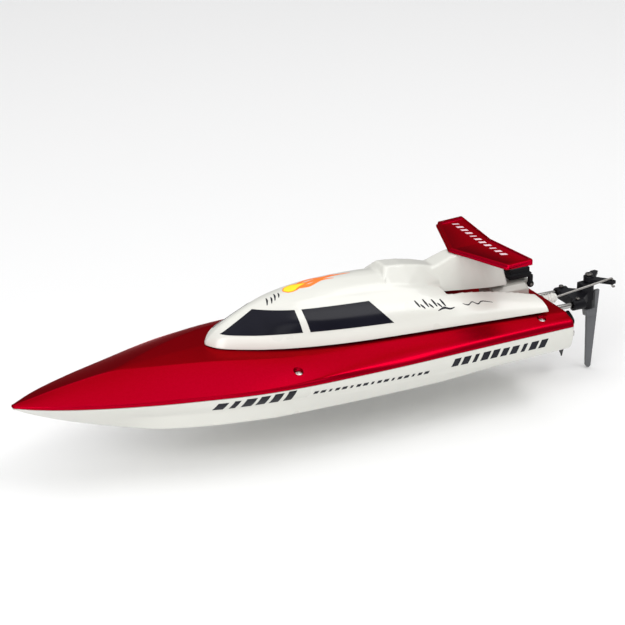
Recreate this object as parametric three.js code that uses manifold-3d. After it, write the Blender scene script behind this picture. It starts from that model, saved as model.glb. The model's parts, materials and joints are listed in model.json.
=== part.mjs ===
// Radio-controlled racing boat: moulded hull, deck and lift-off canopy with a rear wing,
// an inclined propeller drive, and a rudder carried on two tubes behind the transom.
// Millimetres. Boat frame: x forward from the transom, y to port, z up from the seam
// between hull and deck. The finished group is moved so that its origin lies under the
// middle of the whole object, at the height of the lowest point.
import * as THREE from "three";
import { mergeVertices } from "three/addons/utils/BufferGeometryUtils.js";
import Module from "manifold-3d";

const wasm = await Module();
wasm.setup();

// ---------------------------------------------------------------- driving dimensions
const hullLength = 310;
const wall = 1.8;
const canopyWall = 1.6;
const gap = 0.3;
const seamGap = 0.3;
const lipHeight = 1.6;

const cockpit = { aft: 82, fore: 163, aftHalf: 19.5, foreHalf: 11.5, corner: 5 };
const coamingTop = 13.2;
const sealHeight = 1.0;
const coverThickness = 1.6;

const deckScrews = { foreX: 167.4, foreY: 40.6, foreSeat: 4.2, aftX: 17, aftY: 36.6, aftSeat: 3.7 };
const shaft = { hubX: -21.5, hubZ: -24.2, incline: THREE.MathUtils.degToRad(6.5), radius: 1.5 };
const propeller = {
  radius: 13.8, hubRadius: 3.2, bladeThickness: 0.9, bladePitch: THREE.MathUtils.degToRad(-38),
};
const sternTube = { start: 9, end: 60, inner: 2.8, outer: 3.6 };
const motor = { start: 88, length: 32, radius: 11, bellLength: 5.7 };

const tubes = { y: 10, z: -3, radius: 1.5, inner: 14, outer: -25 };
const rudderPivotX = -37;
const tillerZ = 6.2;
const tillerHole = { x: -46.4, y: 10 };
const rod = { radius: 0.6, zAtTransom: 2.6, zAtTiller: 8.5, front: 31 };
const servo = { x: 28, y: 20, armTipY: 8.4, armTop: -2.6 };

const wing = { halfSpan: 38.3, apexX: 55, tipFrontX: 41, tipRearX: 24.4, rearX: 28.5, bottomZ: 38.5 };
const latchPin = { x: 4.4, z: 12.4 };

// ---------------------------------------------------------------- materials
const paint = (color, roughness, metalness) =>
  new THREE.MeshStandardMaterial({ color, roughness, metalness });
const redPaint = paint(0xb0061a, 0.25, 0.5);
const ivory = paint(0xf1f0e6, 0.25, 0);
const windowBlack = paint(0x17161c, 0.15, 0);
const blackPlastic = paint(0x1b1b1e, 0.5, 0);
const greyPlastic = paint(0x55565b, 0.5, 0);
const steel = paint(0xc9cacc, 0.2, 1);
const brass = paint(0xb8913f, 0.3, 1);
const rubber = paint(0x2a2a2a, 0.8, 0);
const whiteRubber = paint(0xe6e6e0, 0.6, 0);
const blueWrap = paint(0x1d4f9c, 0.4, 0);
const greenBoard = paint(0x1d6b3c, 0.5, 0);

// ---------------------------------------------------------------- shape helpers
// A smooth curve through [x, value] points in falling order of x, level at both ends' tangents.
function smoothLine(points) {
  const slope = points.map((point, i) => {
    const before = points[Math.max(i - 1, 0)];
    const after = points[Math.min(i + 1, points.length - 1)];
    return (after[1] - before[1]) / (after[0] - before[0]);
  });
  return (x) => {
    let i = points.findIndex((point) => point[0] <= x);
    if (i < 0) i = points.length - 1;
    if (i === 0) i = 1;
    const [x0, v0] = points[i - 1];
    const [x1, v1] = points[i];
    const span = x1 - x0;
    const t = THREE.MathUtils.clamp((x - x0) / span, 0, 1);
    const t2 = t * t;
    const t3 = t2 * t;
    return v0 * (2 * t3 - 3 * t2 + 1) + v1 * (3 * t2 - 2 * t3)
      + span * (slope[i - 1] * (t3 - 2 * t2 + t) + slope[i] * (t3 - t2));
  };
}

function toManifold(geometry) {
  const bare = new THREE.BufferGeometry();
  bare.setAttribute("position", geometry.getAttribute("position"));
  if (geometry.index) bare.setIndex(geometry.index);
  const merged = mergeVertices(bare, 1e-4);
  const mesh = new wasm.Mesh({
    numProp: 3,
    vertProperties: new Float32Array(merged.getAttribute("position").array),
    triVerts: new Uint32Array(merged.index.array),
  });
  return new wasm.Manifold(mesh);
}

function toGeometry(manifold) {
  const mesh = manifold.getMesh();
  const geometry = new THREE.BufferGeometry();
  geometry.setAttribute("position", new THREE.BufferAttribute(new Float32Array(mesh.vertProperties), 3));
  geometry.setIndex(new THREE.BufferAttribute(new Uint32Array(mesh.triVerts), 1));
  return geometry;
}

const join = (...solids) => solids.reduce((sum, solid) => sum.add(solid));
const cut = (body, ...tools) => tools.reduce((rest, tool) => rest.subtract(tool), body);

// A closed solid through rings of [y, z] points, one ring per station x, in falling order of x.
// Each ring runs anticlockwise when it is seen from ahead.
function loft(stations) {
  const size = stations[0].ring.length;
  const positions = stations.flatMap(({ x, ring }) => ring.flatMap(([y, z]) => [x, y, z]));
  const faces = [];
  for (let s = 0; s + 1 < stations.length; s += 1) {
    for (let i = 0; i < size; i += 1) {
      const a = s * size + i;
      const b = s * size + ((i + 1) % size);
      faces.push(a, a + size, b, b, a + size, b + size);
    }
  }
  const flat = (ring) => ring.map(([y, z]) => new THREE.Vector2(y, z));
  const capOf = (ring) => THREE.ShapeUtils.triangulateShape(flat(ring), []);
  for (const [a, b, c] of capOf(stations[0].ring)) faces.push(a, b, c);
  const last = (stations.length - 1) * size;
  for (const [a, b, c] of capOf(stations.at(-1).ring)) faces.push(last + a, last + c, last + b);
  const geometry = new THREE.BufferGeometry();
  geometry.setAttribute("position", new THREE.BufferAttribute(new Float32Array(positions), 3));
  geometry.setIndex(faces);
  return toManifold(geometry);
}

// Port half of a section, listed from the centreline outwards, completed to a whole ring.
function mirrored(half) {
  const starboard = half.filter(([y]) => y > 1e-6).map(([y, z]) => [-y, z]).reverse();
  return [...half, ...starboard];
}

function prismGeometry(outline, bottom, top) {
  const shape = new THREE.Shape(outline.map(([x, y]) => new THREE.Vector2(x, y)));
  const geometry = new THREE.ExtrudeGeometry(shape, { depth: top - bottom, bevelEnabled: false });
  return geometry.translate(0, 0, bottom);
}

const prism = (outline, bottom, top) => toManifold(prismGeometry(outline, bottom, top));

// A side outline of [x, z] points, extruded across from y = from to y = to.
function sidePrism(outline, from, to) {
  const shape = new THREE.Shape(outline.map(([x, z]) => new THREE.Vector2(x, z)));
  const geometry = new THREE.ExtrudeGeometry(shape, { depth: to - from, bevelEnabled: false });
  geometry.rotateX(Math.PI / 2);
  geometry.translate(0, to, 0);
  return toManifold(geometry);
}

function block(fromX, toX, fromY, toY, fromZ, toZ) {
  const geometry = new THREE.BoxGeometry(toX - fromX, toY - fromY, toZ - fromZ);
  geometry.translate((fromX + toX) / 2, (fromY + toY) / 2, (fromZ + toZ) / 2);
  return toManifold(geometry);
}

function cylinderZ(x, y, fromZ, toZ, radius, sides = 16) {
  const geometry = new THREE.CylinderGeometry(radius, radius, toZ - fromZ, sides);
  geometry.rotateX(Math.PI / 2);
  geometry.translate(x, y, (fromZ + toZ) / 2);
  return toManifold(geometry);
}

function cylinderX(fromX, toX, y, z, radius, sides = 16) {
  const geometry = new THREE.CylinderGeometry(radius, radius, toX - fromX, sides);
  geometry.rotateZ(Math.PI / 2);
  geometry.translate((fromX + toX) / 2, y, z);
  return toManifold(geometry);
}

function cylinderY(x, fromY, toY, z, radius, sides = 16) {
  const geometry = new THREE.CylinderGeometry(radius, radius, toY - fromY, sides);
  geometry.translate(x, (fromY + toY) / 2, z);
  return toManifold(geometry);
}

// A turned solid about the x axis: profile points are [x, radius], from the aft end forward.
function turnedX(profile, sides = 20) {
  const points = profile.map(([x, radius]) => new THREE.Vector2(radius, x));
  const geometry = new THREE.LatheGeometry(points, sides);
  geometry.rotateZ(-Math.PI / 2);
  return toManifold(geometry);
}

function ringX(fromX, toX, inner, outer, sides = 20) {
  return cut(cylinderX(fromX, toX, 0, 0, outer, sides), cylinderX(fromX - 1, toX + 1, 0, 0, inner, sides));
}

// A round cord or hose along a smooth path through points.
function hose(points, radius, steps) {
  const path = new THREE.CatmullRomCurve3(points.map((point) => new THREE.Vector3(...point)));
  const section = new THREE.Shape().absarc(0, 0, radius, 0, Math.PI * 2);
  return toManifold(new THREE.ExtrudeGeometry(section, {
    steps, extrudePath: path, bevelEnabled: false, curveSegments: 4,
  }));
}

// Rounded trapezoid, symmetrical about the centreline, grown outwards by margin.
function trapezoid({ aft, fore, aftHalf, foreHalf, corner }, margin) {
  const radius = Math.max(corner + margin, 0.5);
  const corners = [
    [aft - margin, -aftHalf - margin], [fore + margin, -foreHalf - margin],
    [fore + margin, foreHalf + margin], [aft - margin, aftHalf + margin],
  ].map(([x, y]) => new THREE.Vector2(x, y));
  const arcSteps = 5;
  return corners.flatMap((point, i) => {
    const before = corners[(i + 3) % 4];
    const after = corners[(i + 1) % 4];
    const entry = point.clone().add(before.clone().sub(point).setLength(radius));
    const exit = point.clone().add(after.clone().sub(point).setLength(radius));
    const bend = new THREE.QuadraticBezierCurve(entry, point, exit);
    return bend.getPoints(arcSteps).map(({ x, y }) => [x, y]);
  });
}

// ---------------------------------------------------------------- lines of the hull and deck
const beam = smoothLine([
  [310, 1.4], [305, 4.8], [290, 13.4], [270, 22.3], [250, 29.7], [230, 36.6], [210, 42.4], [190, 46.3],
  [165, 48.5], [140, 48.7], [110, 48.2], [50, 45.3], [0, 43.3],
]);
const seam = smoothLine([[310, -0.9], [300, -1.4], [250, -1.1], [210, 0], [0, 0]]);
const keel = smoothLine([
  [310, -1.9], [299, -7.4], [282, -14], [262, -20.5], [240, -25.5], [210, -28.6], [160, -30], [80, -30],
  [0, -28],
]);
const upperChineY = smoothLine([
  [310, 0.9], [300, 5], [285, 10], [265, 16], [247, 22], [213, 36], [186, 42], [150, 45.4], [120, 46],
  [77, 44.5], [47, 43.4], [0, 41.5],
]);
const upperChineZ = smoothLine([
  [310, -1.2], [300, -3.6], [285, -6.6], [265, -9.6], [247, -10.8], [213, -9.6], [186, -8.6], [146, -9.5],
  [100, -10.2], [47, -11.8], [0, -12.1],
]);
const lowerChineY = smoothLine([
  [310, 0.5], [299, 1.2], [282, 3], [257, 10], [240, 20], [219, 30], [200, 36.8], [175, 40], [78, 40],
  [0, 38.5],
]);
const lowerChineZ = smoothLine([
  [310, -1.6], [299, -6.4], [282, -12.6], [257, -18.4], [240, -19.7], [219, -18.9], [200, -17.8], [175, -18],
  [88, -17.8], [47, -15.8], [0, -14.5],
]);

const shoulderIn = smoothLine([
  [310, 0.25], [290, 0.5], [250, 0.7], [210, 0.8], [178, 1.1], [162, 2], [138, 5.8], [120, 8.5], [104, 9.6],
  [76, 7.4], [40, 5.4], [16, 5.4], [0, 5.9],
]);
const shoulderZ = smoothLine([
  [310, -0.3], [300, 0.3], [290, 0.7], [250, 1.5], [210, 2.3], [175, 2.7], [160, 3.5], [138, 5], [106, 5.85],
  [40, 5.7], [16, 5.3], [0, 4.5],
]);
const creaseY = smoothLine([
  [310, 0.3], [262, 0.6], [250, 2.6], [230, 10.8], [210, 18.4], [190, 25.2], [170, 29.6], [150, 30.6],
  [90, 32], [30, 33.6], [0, 34.2],
]);
const creaseZ = smoothLine([
  [310, 0], [300, 1.7], [288, 4], [274, 6.1], [260, 7.8], [240, 9.6], [220, 11], [200, 11.5], [180, 10.7],
  [150, 9.6], [90, 8.3], [30, 7], [0, 5.9],
]);
const deckCentreZ = smoothLine([
  [310, 0.1], [300, 1.9], [288, 4.2], [274, 6.3], [260, 8], [240, 9.9], [220, 11.6], [200, 12.2], [180, 11.9],
  [150, 10.8], [90, 9.1], [40, 7.4], [0, 5.9],
]);

const hullStations = [310, 307, 302, 294, 284, 272, 260, 246, 230, 213, 195, 175, 150, 122, 92, 60, 30, 0];

// Moulded section with a slight outward swell between two knuckles.
function swell([y0, z0], [y1, z1], amount) {
  const length = Math.hypot(y1 - y0, z1 - z0) || 1;
  return [(y0 + y1) / 2 + (z1 - z0) / length * amount, (z0 + z1) / 2 - (y1 - y0) / length * amount];
}

function hullRing(x, inset) {
  const top = seam(x) - seamGap / 2 + (inset > 0 ? 1 : 0);
  const edge = [beam(x) - inset, top];
  const upper = [upperChineY(x) - inset, upperChineZ(x) + inset * 0.3];
  const lower = [Math.max(lowerChineY(x) - inset, 0.4), lowerChineZ(x) + inset * 0.8];
  const bottom = [0, keel(x) + inset * 1.1];
  const fullness = Math.min(beam(x) / 48, 1);
  const half = [
    bottom, swell(bottom, lower, 0.8 * fullness), lower, upper, swell(upper, edge, 0.6 * fullness), edge,
  ];
  return mirrored(half);
}

function deckRing(x, inset) {
  const base = seam(x) + seamGap / 2 - (inset > 0 ? 1 : 0);
  const edge = [beam(x) - inset, base];
  const rise = Math.min(lipHeight, 0.45 * (deckCentreZ(x) - seam(x)));
  const lip = [beam(x) - 0.15 - inset, seam(x) + rise - inset * 0.6];
  const shoulder = [beam(x) - shoulderIn(x) - inset * 1.1, shoulderZ(x) - inset];
  const crease = [Math.max(creaseY(x) - inset * 0.2, 0.1), creaseZ(x) - inset];
  const fullness = Math.min(beam(x) / 48, 1);
  const rim = swell(lip, shoulder, 0.7 * fullness);
  const side = swell(shoulder, crease, (0.1 + THREE.MathUtils.smoothstep(x, 130, 175)) * fullness);
  return mirrored([edge, lip, rim, shoulder, side, crease, [0, deckCentreZ(x) - inset]]);
}

const fromLines = (stations, ringAt, inset) => loft(stations.map((x) => ({ x, ring: ringAt(x, inset) })));
const innerStations = [286, ...hullStations.filter((x) => x < 286 && x > 0), wall];

// ---------------------------------------------------------------- drive line placement
// Points on the propeller shaft, measured forward from the propeller's centre.
const alongShaft = (s) => [
  shaft.hubX + s * Math.cos(shaft.incline), 0, shaft.hubZ + s * Math.sin(shaft.incline),
];
const onShaft = (solid) => solid
  .rotate([0, THREE.MathUtils.radToDeg(-shaft.incline), 0])
  .translate([shaft.hubX, 0, shaft.hubZ]);

// ---------------------------------------------------------------- hull
const deckScrewPlaces = [
  ["port_front_deck_screw", deckScrews.foreX, deckScrews.foreY, deckScrews.foreSeat],
  ["starboard_front_deck_screw", deckScrews.foreX, -deckScrews.foreY, deckScrews.foreSeat],
  ["port_rear_deck_screw", deckScrews.aftX, deckScrews.aftY, deckScrews.aftSeat],
  ["starboard_rear_deck_screw", deckScrews.aftX, -deckScrews.aftY, deckScrews.aftSeat],
];
const contactPlaces = [["port_water_contact", 8], ["starboard_water_contact", -8]];
const contactX = 174;
const intake = { y: -14, z: -18 };
const outlet = { y: -24, z: -7 };

function lowerHull() {
  const outer = fromLines(hullStations, hullRing, 0);
  const inner = fromLines(innerStations, hullRing, wall);
  const posts = deckScrewPlaces.map(([, x, y]) => cylinderZ(x, y, -30, -seamGap / 2, 3.2, 12));
  const bearers = [
    block(18, 38, 15, 24, -30, servo.armTop - 13.8),
    block(62, 66, -14, 14, -30, -24.6),
    block(112, 115, -15, 15, -30, -21.6),
    block(152, 155, -15, 15, -30, -21.6),
    block(196, 199, -9, 9, -30, -14),
    block(222, 225, -9, 9, -30, -14),
  ];
  const inside = join(...posts, ...bearers).intersect(outer);
  const shell = join(cut(outer, inner), inside);
  const holes = [
    ...deckScrewPlaces.map(([, x, y]) => cylinderZ(x, y, -10.5, 1, 1.3, 12)),
    ...contactPlaces.map(([, y]) => cylinderZ(contactX, y, -32, -20, 1.3, 12)),
    ...[tubes.y, -tubes.y].map((y) => cylinderX(-1, 4, y, tubes.z, tubes.radius + gap)),
    onShaft(cylinderX(18, 34, 0, 0, sternTube.outer + gap, 20)),
    cylinderX(-1, 4, intake.y, intake.z, 1.5 + gap),
    cylinderX(-1, 4, outlet.y, outlet.z, 1.5 + gap),
  ];
  return cut(shell, ...holes);
}

// A flat ring just inside the hull's rim, following the seam as it drops towards the bow.
function seamGasket() {
  const stations = innerStations.filter((x) => x > wall && x < 280);
  const aft = wall + 2 * gap;
  const margin = (x) => wall + 1.1 + 0.9 * THREE.MathUtils.smoothstep(x, 150, 250);
  const slab = (inset, low, high) => {
    const bow = stations[0] - inset;
    const port = [bow, ...stations.slice(1), aft + inset].map((x) => [x, beam(x) - margin(x) - inset]);
    const outline = [...port, ...port.map(([x, y]) => [x, -y]).reverse()];
    const geometry = prismGeometry(outline, low, high);
    const position = geometry.getAttribute("position");
    for (let i = 0; i < position.count; i += 1) position.setZ(i, position.getZ(i) + seam(position.getX(i)));
    return toManifold(geometry);
  };
  return cut(slab(0, -0.9, 0.3), slab(0.8, -1.5, 0.9));
}

// ---------------------------------------------------------------- deck
const rodSlope = (rod.zAtTiller - rod.zAtTransom) / -tillerHole.x;
const boot = { y: 9.5, neck: 1.9, bore: 1.7 };

function upperDeck() {
  const outer = fromLines(hullStations, deckRing, 0);
  const inner = fromLines(innerStations, deckRing, wall);
  const coaming = cut(
    prism(trapezoid(cockpit, 2), 6.5, coamingTop),
    prism(trapezoid(cockpit, 0), 0, coamingTop + 1),
  );
  const hatchBosses = hatchScrewPlaces.map(([, x, y]) => cylinderZ(x, y, 7.5, coamingTop, 2.2, 12));
  const posts = deckScrewPlaces.map(([, x, y]) => cylinderZ(x, y, seamGap / 2, 12, 3.4, 16).intersect(outer));
  const opening = prism(trapezoid(cockpit, 0), 0, 30);
  const shell = join(cut(outer, inner), ...posts, cut(join(coaming, ...hatchBosses), opening));
  const holes = [
    opening,
    ...deckScrewPlaces.map(([, x, y, seat]) => cylinderZ(x, y, seat, 14, 2.6, 18)),
    ...deckScrewPlaces.map(([, x, y, seat]) => cylinderZ(x, y, -1, seat + 1, 1.3, 12)),
    ...hatchScrewPlaces.map(([, x, y]) => cylinderZ(x, y, coamingTop - 4, coamingTop + 1, 1.1, 12)),
    cylinderX(-1, 3, boot.y, rod.zAtTransom, boot.neck + gap),
  ];
  return cut(shell, ...holes);
}

function deckScrew(x, y, seat) {
  const headBottom = seat + gap;
  return join(
    cylinderZ(x, y, headBottom, headBottom + 1.2, 2.2, 16),
    cylinderZ(x, y, -10, headBottom + 0.1, 1, 12),
  );
}

// ---------------------------------------------------------------- inner hatch
const hatchScrewPlaces = [
  ["port_front_hatch_screw", cockpit.fore + 0.5, cockpit.foreHalf + 1],
  ["starboard_front_hatch_screw", cockpit.fore + 0.5, -cockpit.foreHalf - 1],
  ["port_rear_hatch_screw", cockpit.aft - 0.5, cockpit.aftHalf + 1],
  ["starboard_rear_hatch_screw", cockpit.aft - 0.5, -cockpit.aftHalf - 1],
];
const coverBottom = coamingTop + sealHeight + 2 * gap;

function hatchSeal() {
  return cut(
    prism(trapezoid(cockpit, 1.8), coamingTop + gap, coamingTop + gap + sealHeight),
    prism(trapezoid(cockpit, 0.2), coamingTop, coverBottom),
    ...hatchScrewPlaces.map(([, x, y]) => cylinderZ(x, y, coamingTop, coverBottom, 1.5, 12)),
  );
}

function hatchCover() {
  const plate = prism(trapezoid(cockpit, 3), coverBottom, coverBottom + coverThickness);
  const grip = block(100, 140, -2, 2, coverBottom + 1, coverBottom + 5);
  const holes = hatchScrewPlaces.map(([, x, y]) => cylinderZ(x, y, coamingTop, coverBottom + 3, 1.1, 12));
  return cut(join(plate, grip), ...holes);
}

function hatchScrew(x, y) {
  const headBottom = coverBottom + coverThickness + gap;
  return join(
    cylinderZ(x, y, headBottom, headBottom + 1, 1.8, 14),
    cylinderZ(x, y, coamingTop - 3.5, headBottom + 0.2, 0.8, 10),
  );
}

// ---------------------------------------------------------------- canopy
const canopyBaseY = smoothLine([
  [201.5, 0.8], [200.3, 4], [198, 7.2], [194, 10.3], [186, 14.3], [175, 18.8], [156, 24], [130, 28.2],
  [101, 30.4], [72, 31.8], [43, 33], [9, 34.6],
]);
const canopyBaseZ = smoothLine([
  [201.5, 12.6], [186, 12], [156, 11], [130, 10.4], [101, 9.8], [72, 9.3], [43, 8.5], [9, 7.8],
]);
const beltY = smoothLine([
  [201.5, 0.6], [200, 2.6], [198, 4.8], [194, 7.4], [186, 11.8], [175, 16.4], [154, 21.3], [128, 25],
  [102, 27.2], [72, 29.4], [43, 31.2], [9, 33],
]);
const beltZ = smoothLine([
  [201.5, 13.3], [198.5, 16.2], [194, 18.2], [186, 18.2], [175, 17.9], [154, 17.3], [128, 16.5], [102, 15.3],
  [72, 14], [43, 12.2], [9, 10.2],
]);
const shoulderTopY = smoothLine([
  [201.5, 0.3], [198.5, 0.9], [190, 2], [177, 3.8], [165, 8.9], [154, 12.8], [140, 14.8], [112, 17],
  [90, 18.6], [72, 18.8], [52, 18], [32, 20], [9, 24],
]);
const shoulderTopZ = smoothLine([
  [201.5, 13.7], [198.5, 17.2], [190, 22.8], [177, 28.4], [165, 29.6], [154, 28.9], [140, 28.4], [112, 27.2],
  [90, 25.8], [72, 23.9], [52, 21.6], [32, 18.9], [9, 14],
]);
const roofZ = smoothLine([
  [201.5, 14], [198.5, 17.6], [190, 23.4], [177, 29.6], [164, 33.8], [145, 37.2], [122, 38.2], [100, 37.2],
  [86, 34.4], [74, 29], [66, 24.6],
]);
const domeStations = [201.5, 200, 196.5, 190, 182, 172, 160, 145, 128, 110, 94, 84, 75, 66];
const railAftX = 11.2;

function domeRing(x, inset) {
  const base = [canopyBaseY(x) - inset, canopyBaseZ(x) - (inset > 0 ? 1 : 0)];
  const belt = [beltY(x) - inset, beltZ(x) - inset * 0.4];
  const top = [Math.max(shoulderTopY(x) - inset * 0.6, 0.3), shoulderTopZ(x) - inset];
  const crown = [0, roofZ(x) - inset];
  const fullness = Math.min(canopyBaseY(x) / 25, 1);
  const haunch = [top[0] * 0.55, top[1] + (crown[1] - top[1]) * 0.72];
  return mirrored([
    base, swell(base, belt, 0.4 * fullness), belt, swell(belt, top, 0.7 * fullness), top, haunch, crown,
  ]);
}

const railFlare = 1.5;
const railStations = [66, 52, 40, 26];

// Side rail: the canopy's flank carried aft beside the wing's pillar.
function railRing(x, inset, side) {
  const floor = canopyBaseZ(x) - (inset > 0 ? 1 : 0);
  const base = [canopyBaseY(x) - inset, floor];
  const belt = [beltY(x) - inset, beltZ(x) - inset * 0.4];
  const top = [shoulderTopY(x) + inset * 0.2, shoulderTopZ(x) - inset];
  const foot = [shoulderTopY(x) + (inset > 0 ? inset : -railFlare), floor];
  const ring = [base, belt, swell(belt, top, 0.7), top, foot];
  return side > 0 ? ring : ring.map(([y, z]) => [-y, z]).reverse();
}

const rails = (fore, aft, inset) => [1, -1].map((side) => (
  loft([fore, ...railStations, aft].map((x) => ({ x, ring: railRing(x, inset, side) })))
));

// Slice of the wing's pillar at height z: long, blunt at the rear, flared towards its foot.
const pillarFoot = { z: 17, rear: 21.3, front: 74, half: 9 };
const pillarHead = { z: 38, rear: 26.5, front: 56, half: 6 };

function pillarSlice(z, inset) {
  const { clamp, lerp, smoothstep } = THREE.MathUtils;
  const t = clamp((z - pillarFoot.z) / (pillarHead.z - pillarFoot.z), 0, 1);
  const rear = lerp(pillarFoot.rear, pillarHead.rear, t) + inset;
  const front = lerp(pillarFoot.front, pillarHead.front, smoothstep(z, 24, 38.4)) - inset;
  const half = lerp(pillarFoot.half, pillarHead.half, t) - inset;
  const flare = 1 + 0.5 * (1 - t) ** 2;
  return [
    [rear, half * 0.8], [rear + 1.5, half], [rear + 14, half * (0.5 + 0.5 * flare)],
    [front - 12, half * flare], [front - 3, half * 0.85], [front, half * 0.35],
  ];
}

function pillar(inset) {
  const heights = [16, 20, 24, 28, 32, 35.5, wing.bottomZ - gap - inset];
  // The slices are stacked along x, the loft's own direction, and the solid is then stood upright.
  const stations = heights.reverse().map((z) => {
    const port = pillarSlice(z, inset);
    const slice = [...port, ...port.map(([x, y]) => [x, -y]).reverse()];
    return { x: z, ring: slice.map(([x, y]) => [y, -x]).reverse() };
  });
  return loft(stations).rotate([0, -90, 0]);
}

const scoop = { foreX: 101, crestX: 97.5, aftX: 62 };

function scoopSolid(inset) {
  const floor = 22;
  const section = (x, lowHalf, topHalf, low, top) => ({
    x,
    ring: mirrored([
      [lowHalf - inset, floor], [lowHalf - inset, low - inset], [topHalf - inset, top - inset],
    ]),
  });
  return loft([
    section(scoop.foreX - inset, 12.5, 11, 31, 34),
    section(scoop.crestX - inset, 12.4, 5, 31.5, 39.8),
    section(86, 12.3, 5, 30.5, 38.8),
    section(76, 11.6, 5, 28, 36.8),
    section(scoop.aftX, 8, 4.5, 26, 33),
  ]);
}

// The space left under the pillar for the tail housing.
const underPillar = () => sidePrism([[10, 5], [10, 15.2], [66, 21.4], [66, 5]], -30, 30);

function canopyShell() {
  const dome = fromLines(domeStations, domeRing, 0);
  const column = cut(pillar(0), underPillar());
  const outer = join(dome, ...rails(80, railAftX, 0), scoopSolid(0), column);
  const domeAftX = domeStations.at(-1);
  const innerDome = domeStations.filter((x) => x < 197 && x > domeAftX + 4);
  const inner = [
    fromLines([197.5, ...innerDome, domeAftX + canopyWall], domeRing, canopyWall),
    ...rails(78, railAftX + canopyWall, canopyWall),
    cut(scoopSolid(canopyWall), block(0, domeAftX + canopyWall, -20, 20, 0, 50)),
    cut(pillar(canopyWall), block(domeAftX, 90, -20, 20, 0, 50)),
  ];
  const holes = wingScrewPlaces.map(([, x]) => cylinderZ(x, 0, 30, 42, 1.1, 12));
  return cut(outer, ...inner, ...holes);
}

// A point on the flank at height z, raised off it by lift.
function flankPoint(x, z, lift) {
  const belt = new THREE.Vector2(beltY(x), beltZ(x));
  const top = new THREE.Vector2(shoulderTopY(x), shoulderTopZ(x));
  const along = top.clone().sub(belt).normalize();
  const outward = new THREE.Vector2(along.y, -along.x);
  const v = THREE.MathUtils.clamp((z - belt.y) / (top.y - belt.y), 0, 1);
  const bulge = 0.7 * 4 * v * (1 - v);
  const point = belt.lerp(top, v).addScaledVector(outward, bulge + lift);
  return [x, point.x, point.y];
}

// Window corners in side view, [x, z]: bottom fore, bottom aft, top fore, top aft.
const windows = {
  front: [[194.4, 18.4], [154.5, 17.6], [175.6, 28.6], [155.5, 27.8]],
  rear: [[150.4, 17.4], [103.2, 15.7], [151.8, 27.7], [113.4, 26.6]],
};

function windowPanel([bottomFore, bottomAft, topFore, topAft], side) {
  const columns = 8;
  const rows = 4;
  const clear = 0.5;
  const thickness = 0.6;
  const mix = THREE.MathUtils.lerp;
  const positions = [];
  for (const lift of [clear, clear + thickness]) {
    for (let r = 0; r <= rows; r += 1) {
      for (let c = 0; c <= columns; c += 1) {
        const aftward = c / columns;
        const up = r / rows;
        const [x, z] = [0, 1].map((axis) => mix(
          mix(bottomFore[axis], bottomAft[axis], aftward),
          mix(topFore[axis], topAft[axis], aftward),
          up,
        ));
        const [px, py, pz] = flankPoint(x, z, lift);
        positions.push(px, py * side, pz);
      }
    }
  }
  const width = columns + 1;
  const layer = width * (rows + 1);
  const faces = [];
  const quad = (a, b, c, d) => (side > 0 ? faces.push(a, c, b, a, d, c) : faces.push(a, b, c, a, c, d));
  for (let r = 0; r < rows; r += 1) {
    for (let c = 0; c < columns; c += 1) {
      const a = r * width + c;
      quad(a, a + 1, a + width + 1, a + width);
      quad(layer + a, layer + a + width, layer + a + width + 1, layer + a + 1);
    }
  }
  for (let c = 0; c < columns; c += 1) {
    const high0 = rows * width + c;
    quad(c, layer + c, layer + c + 1, c + 1);
    quad(high0, high0 + 1, layer + high0 + 1, layer + high0);
  }
  for (let r = 0; r < rows; r += 1) {
    const a = r * width;
    const b = a + columns;
    quad(a, a + width, layer + a + width, layer + a);
    quad(b, layer + b, layer + b + width, b + width);
  }
  const geometry = new THREE.BufferGeometry();
  geometry.setAttribute("position", new THREE.BufferAttribute(new Float32Array(positions), 3));
  geometry.setIndex(faces);
  return toManifold(geometry);
}

// ---------------------------------------------------------------- wing
const wingScrewPlaces = [["front_wing_screw", 47], ["rear_wing_screw", 34]];

// The wing's outline drawn in by a margin, with a margin of its own along the rear edge.
function wingOutline(margin, rearMargin) {
  const tipY = wing.halfSpan - margin;
  const foreX = wing.tipFrontX - margin;
  const aftX = wing.tipRearX + rearMargin;
  return [
    [wing.apexX - margin * 1.1, 0], [foreX, tipY], [aftX, tipY],
    [wing.rearX + rearMargin, 0], [aftX, -tipY], [foreX, -tipY],
  ];
}

// The top face rises towards the rear by a few degrees.
function wingWedge(lift) {
  return sidePrism([[60, 36], [60, 40.1 + lift], [20, 42.3 + lift], [20, 36]], -45, 45);
}

function rearWing() {
  const plate = prism(wingOutline(0, 0), wing.bottomZ, 46).intersect(wingWedge(0));
  const pocket = cut(prism(wingOutline(2.4, 0.8), 36, 46), wingWedge(-1.1));
  const holes = wingScrewPlaces.map(([, x]) => cylinderZ(x, 0, 36, wing.bottomZ + 1, 1.1, 12));
  return cut(plate, pocket, ...holes);
}

function wingScrew(x) {
  const ceiling = wing.bottomZ - gap - canopyWall;
  return join(
    cylinderZ(x, 0, ceiling - gap - 1.4, ceiling - gap, 2, 14),
    cylinderZ(x, 0, ceiling - gap - 0.2, wing.bottomZ + 0.7, 0.8, 10),
  );
}

// ---------------------------------------------------------------- tail housing and latch
const latch = { lugHalf: 3.1, half: 5.2, boreRadius: 0.9 };

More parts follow.
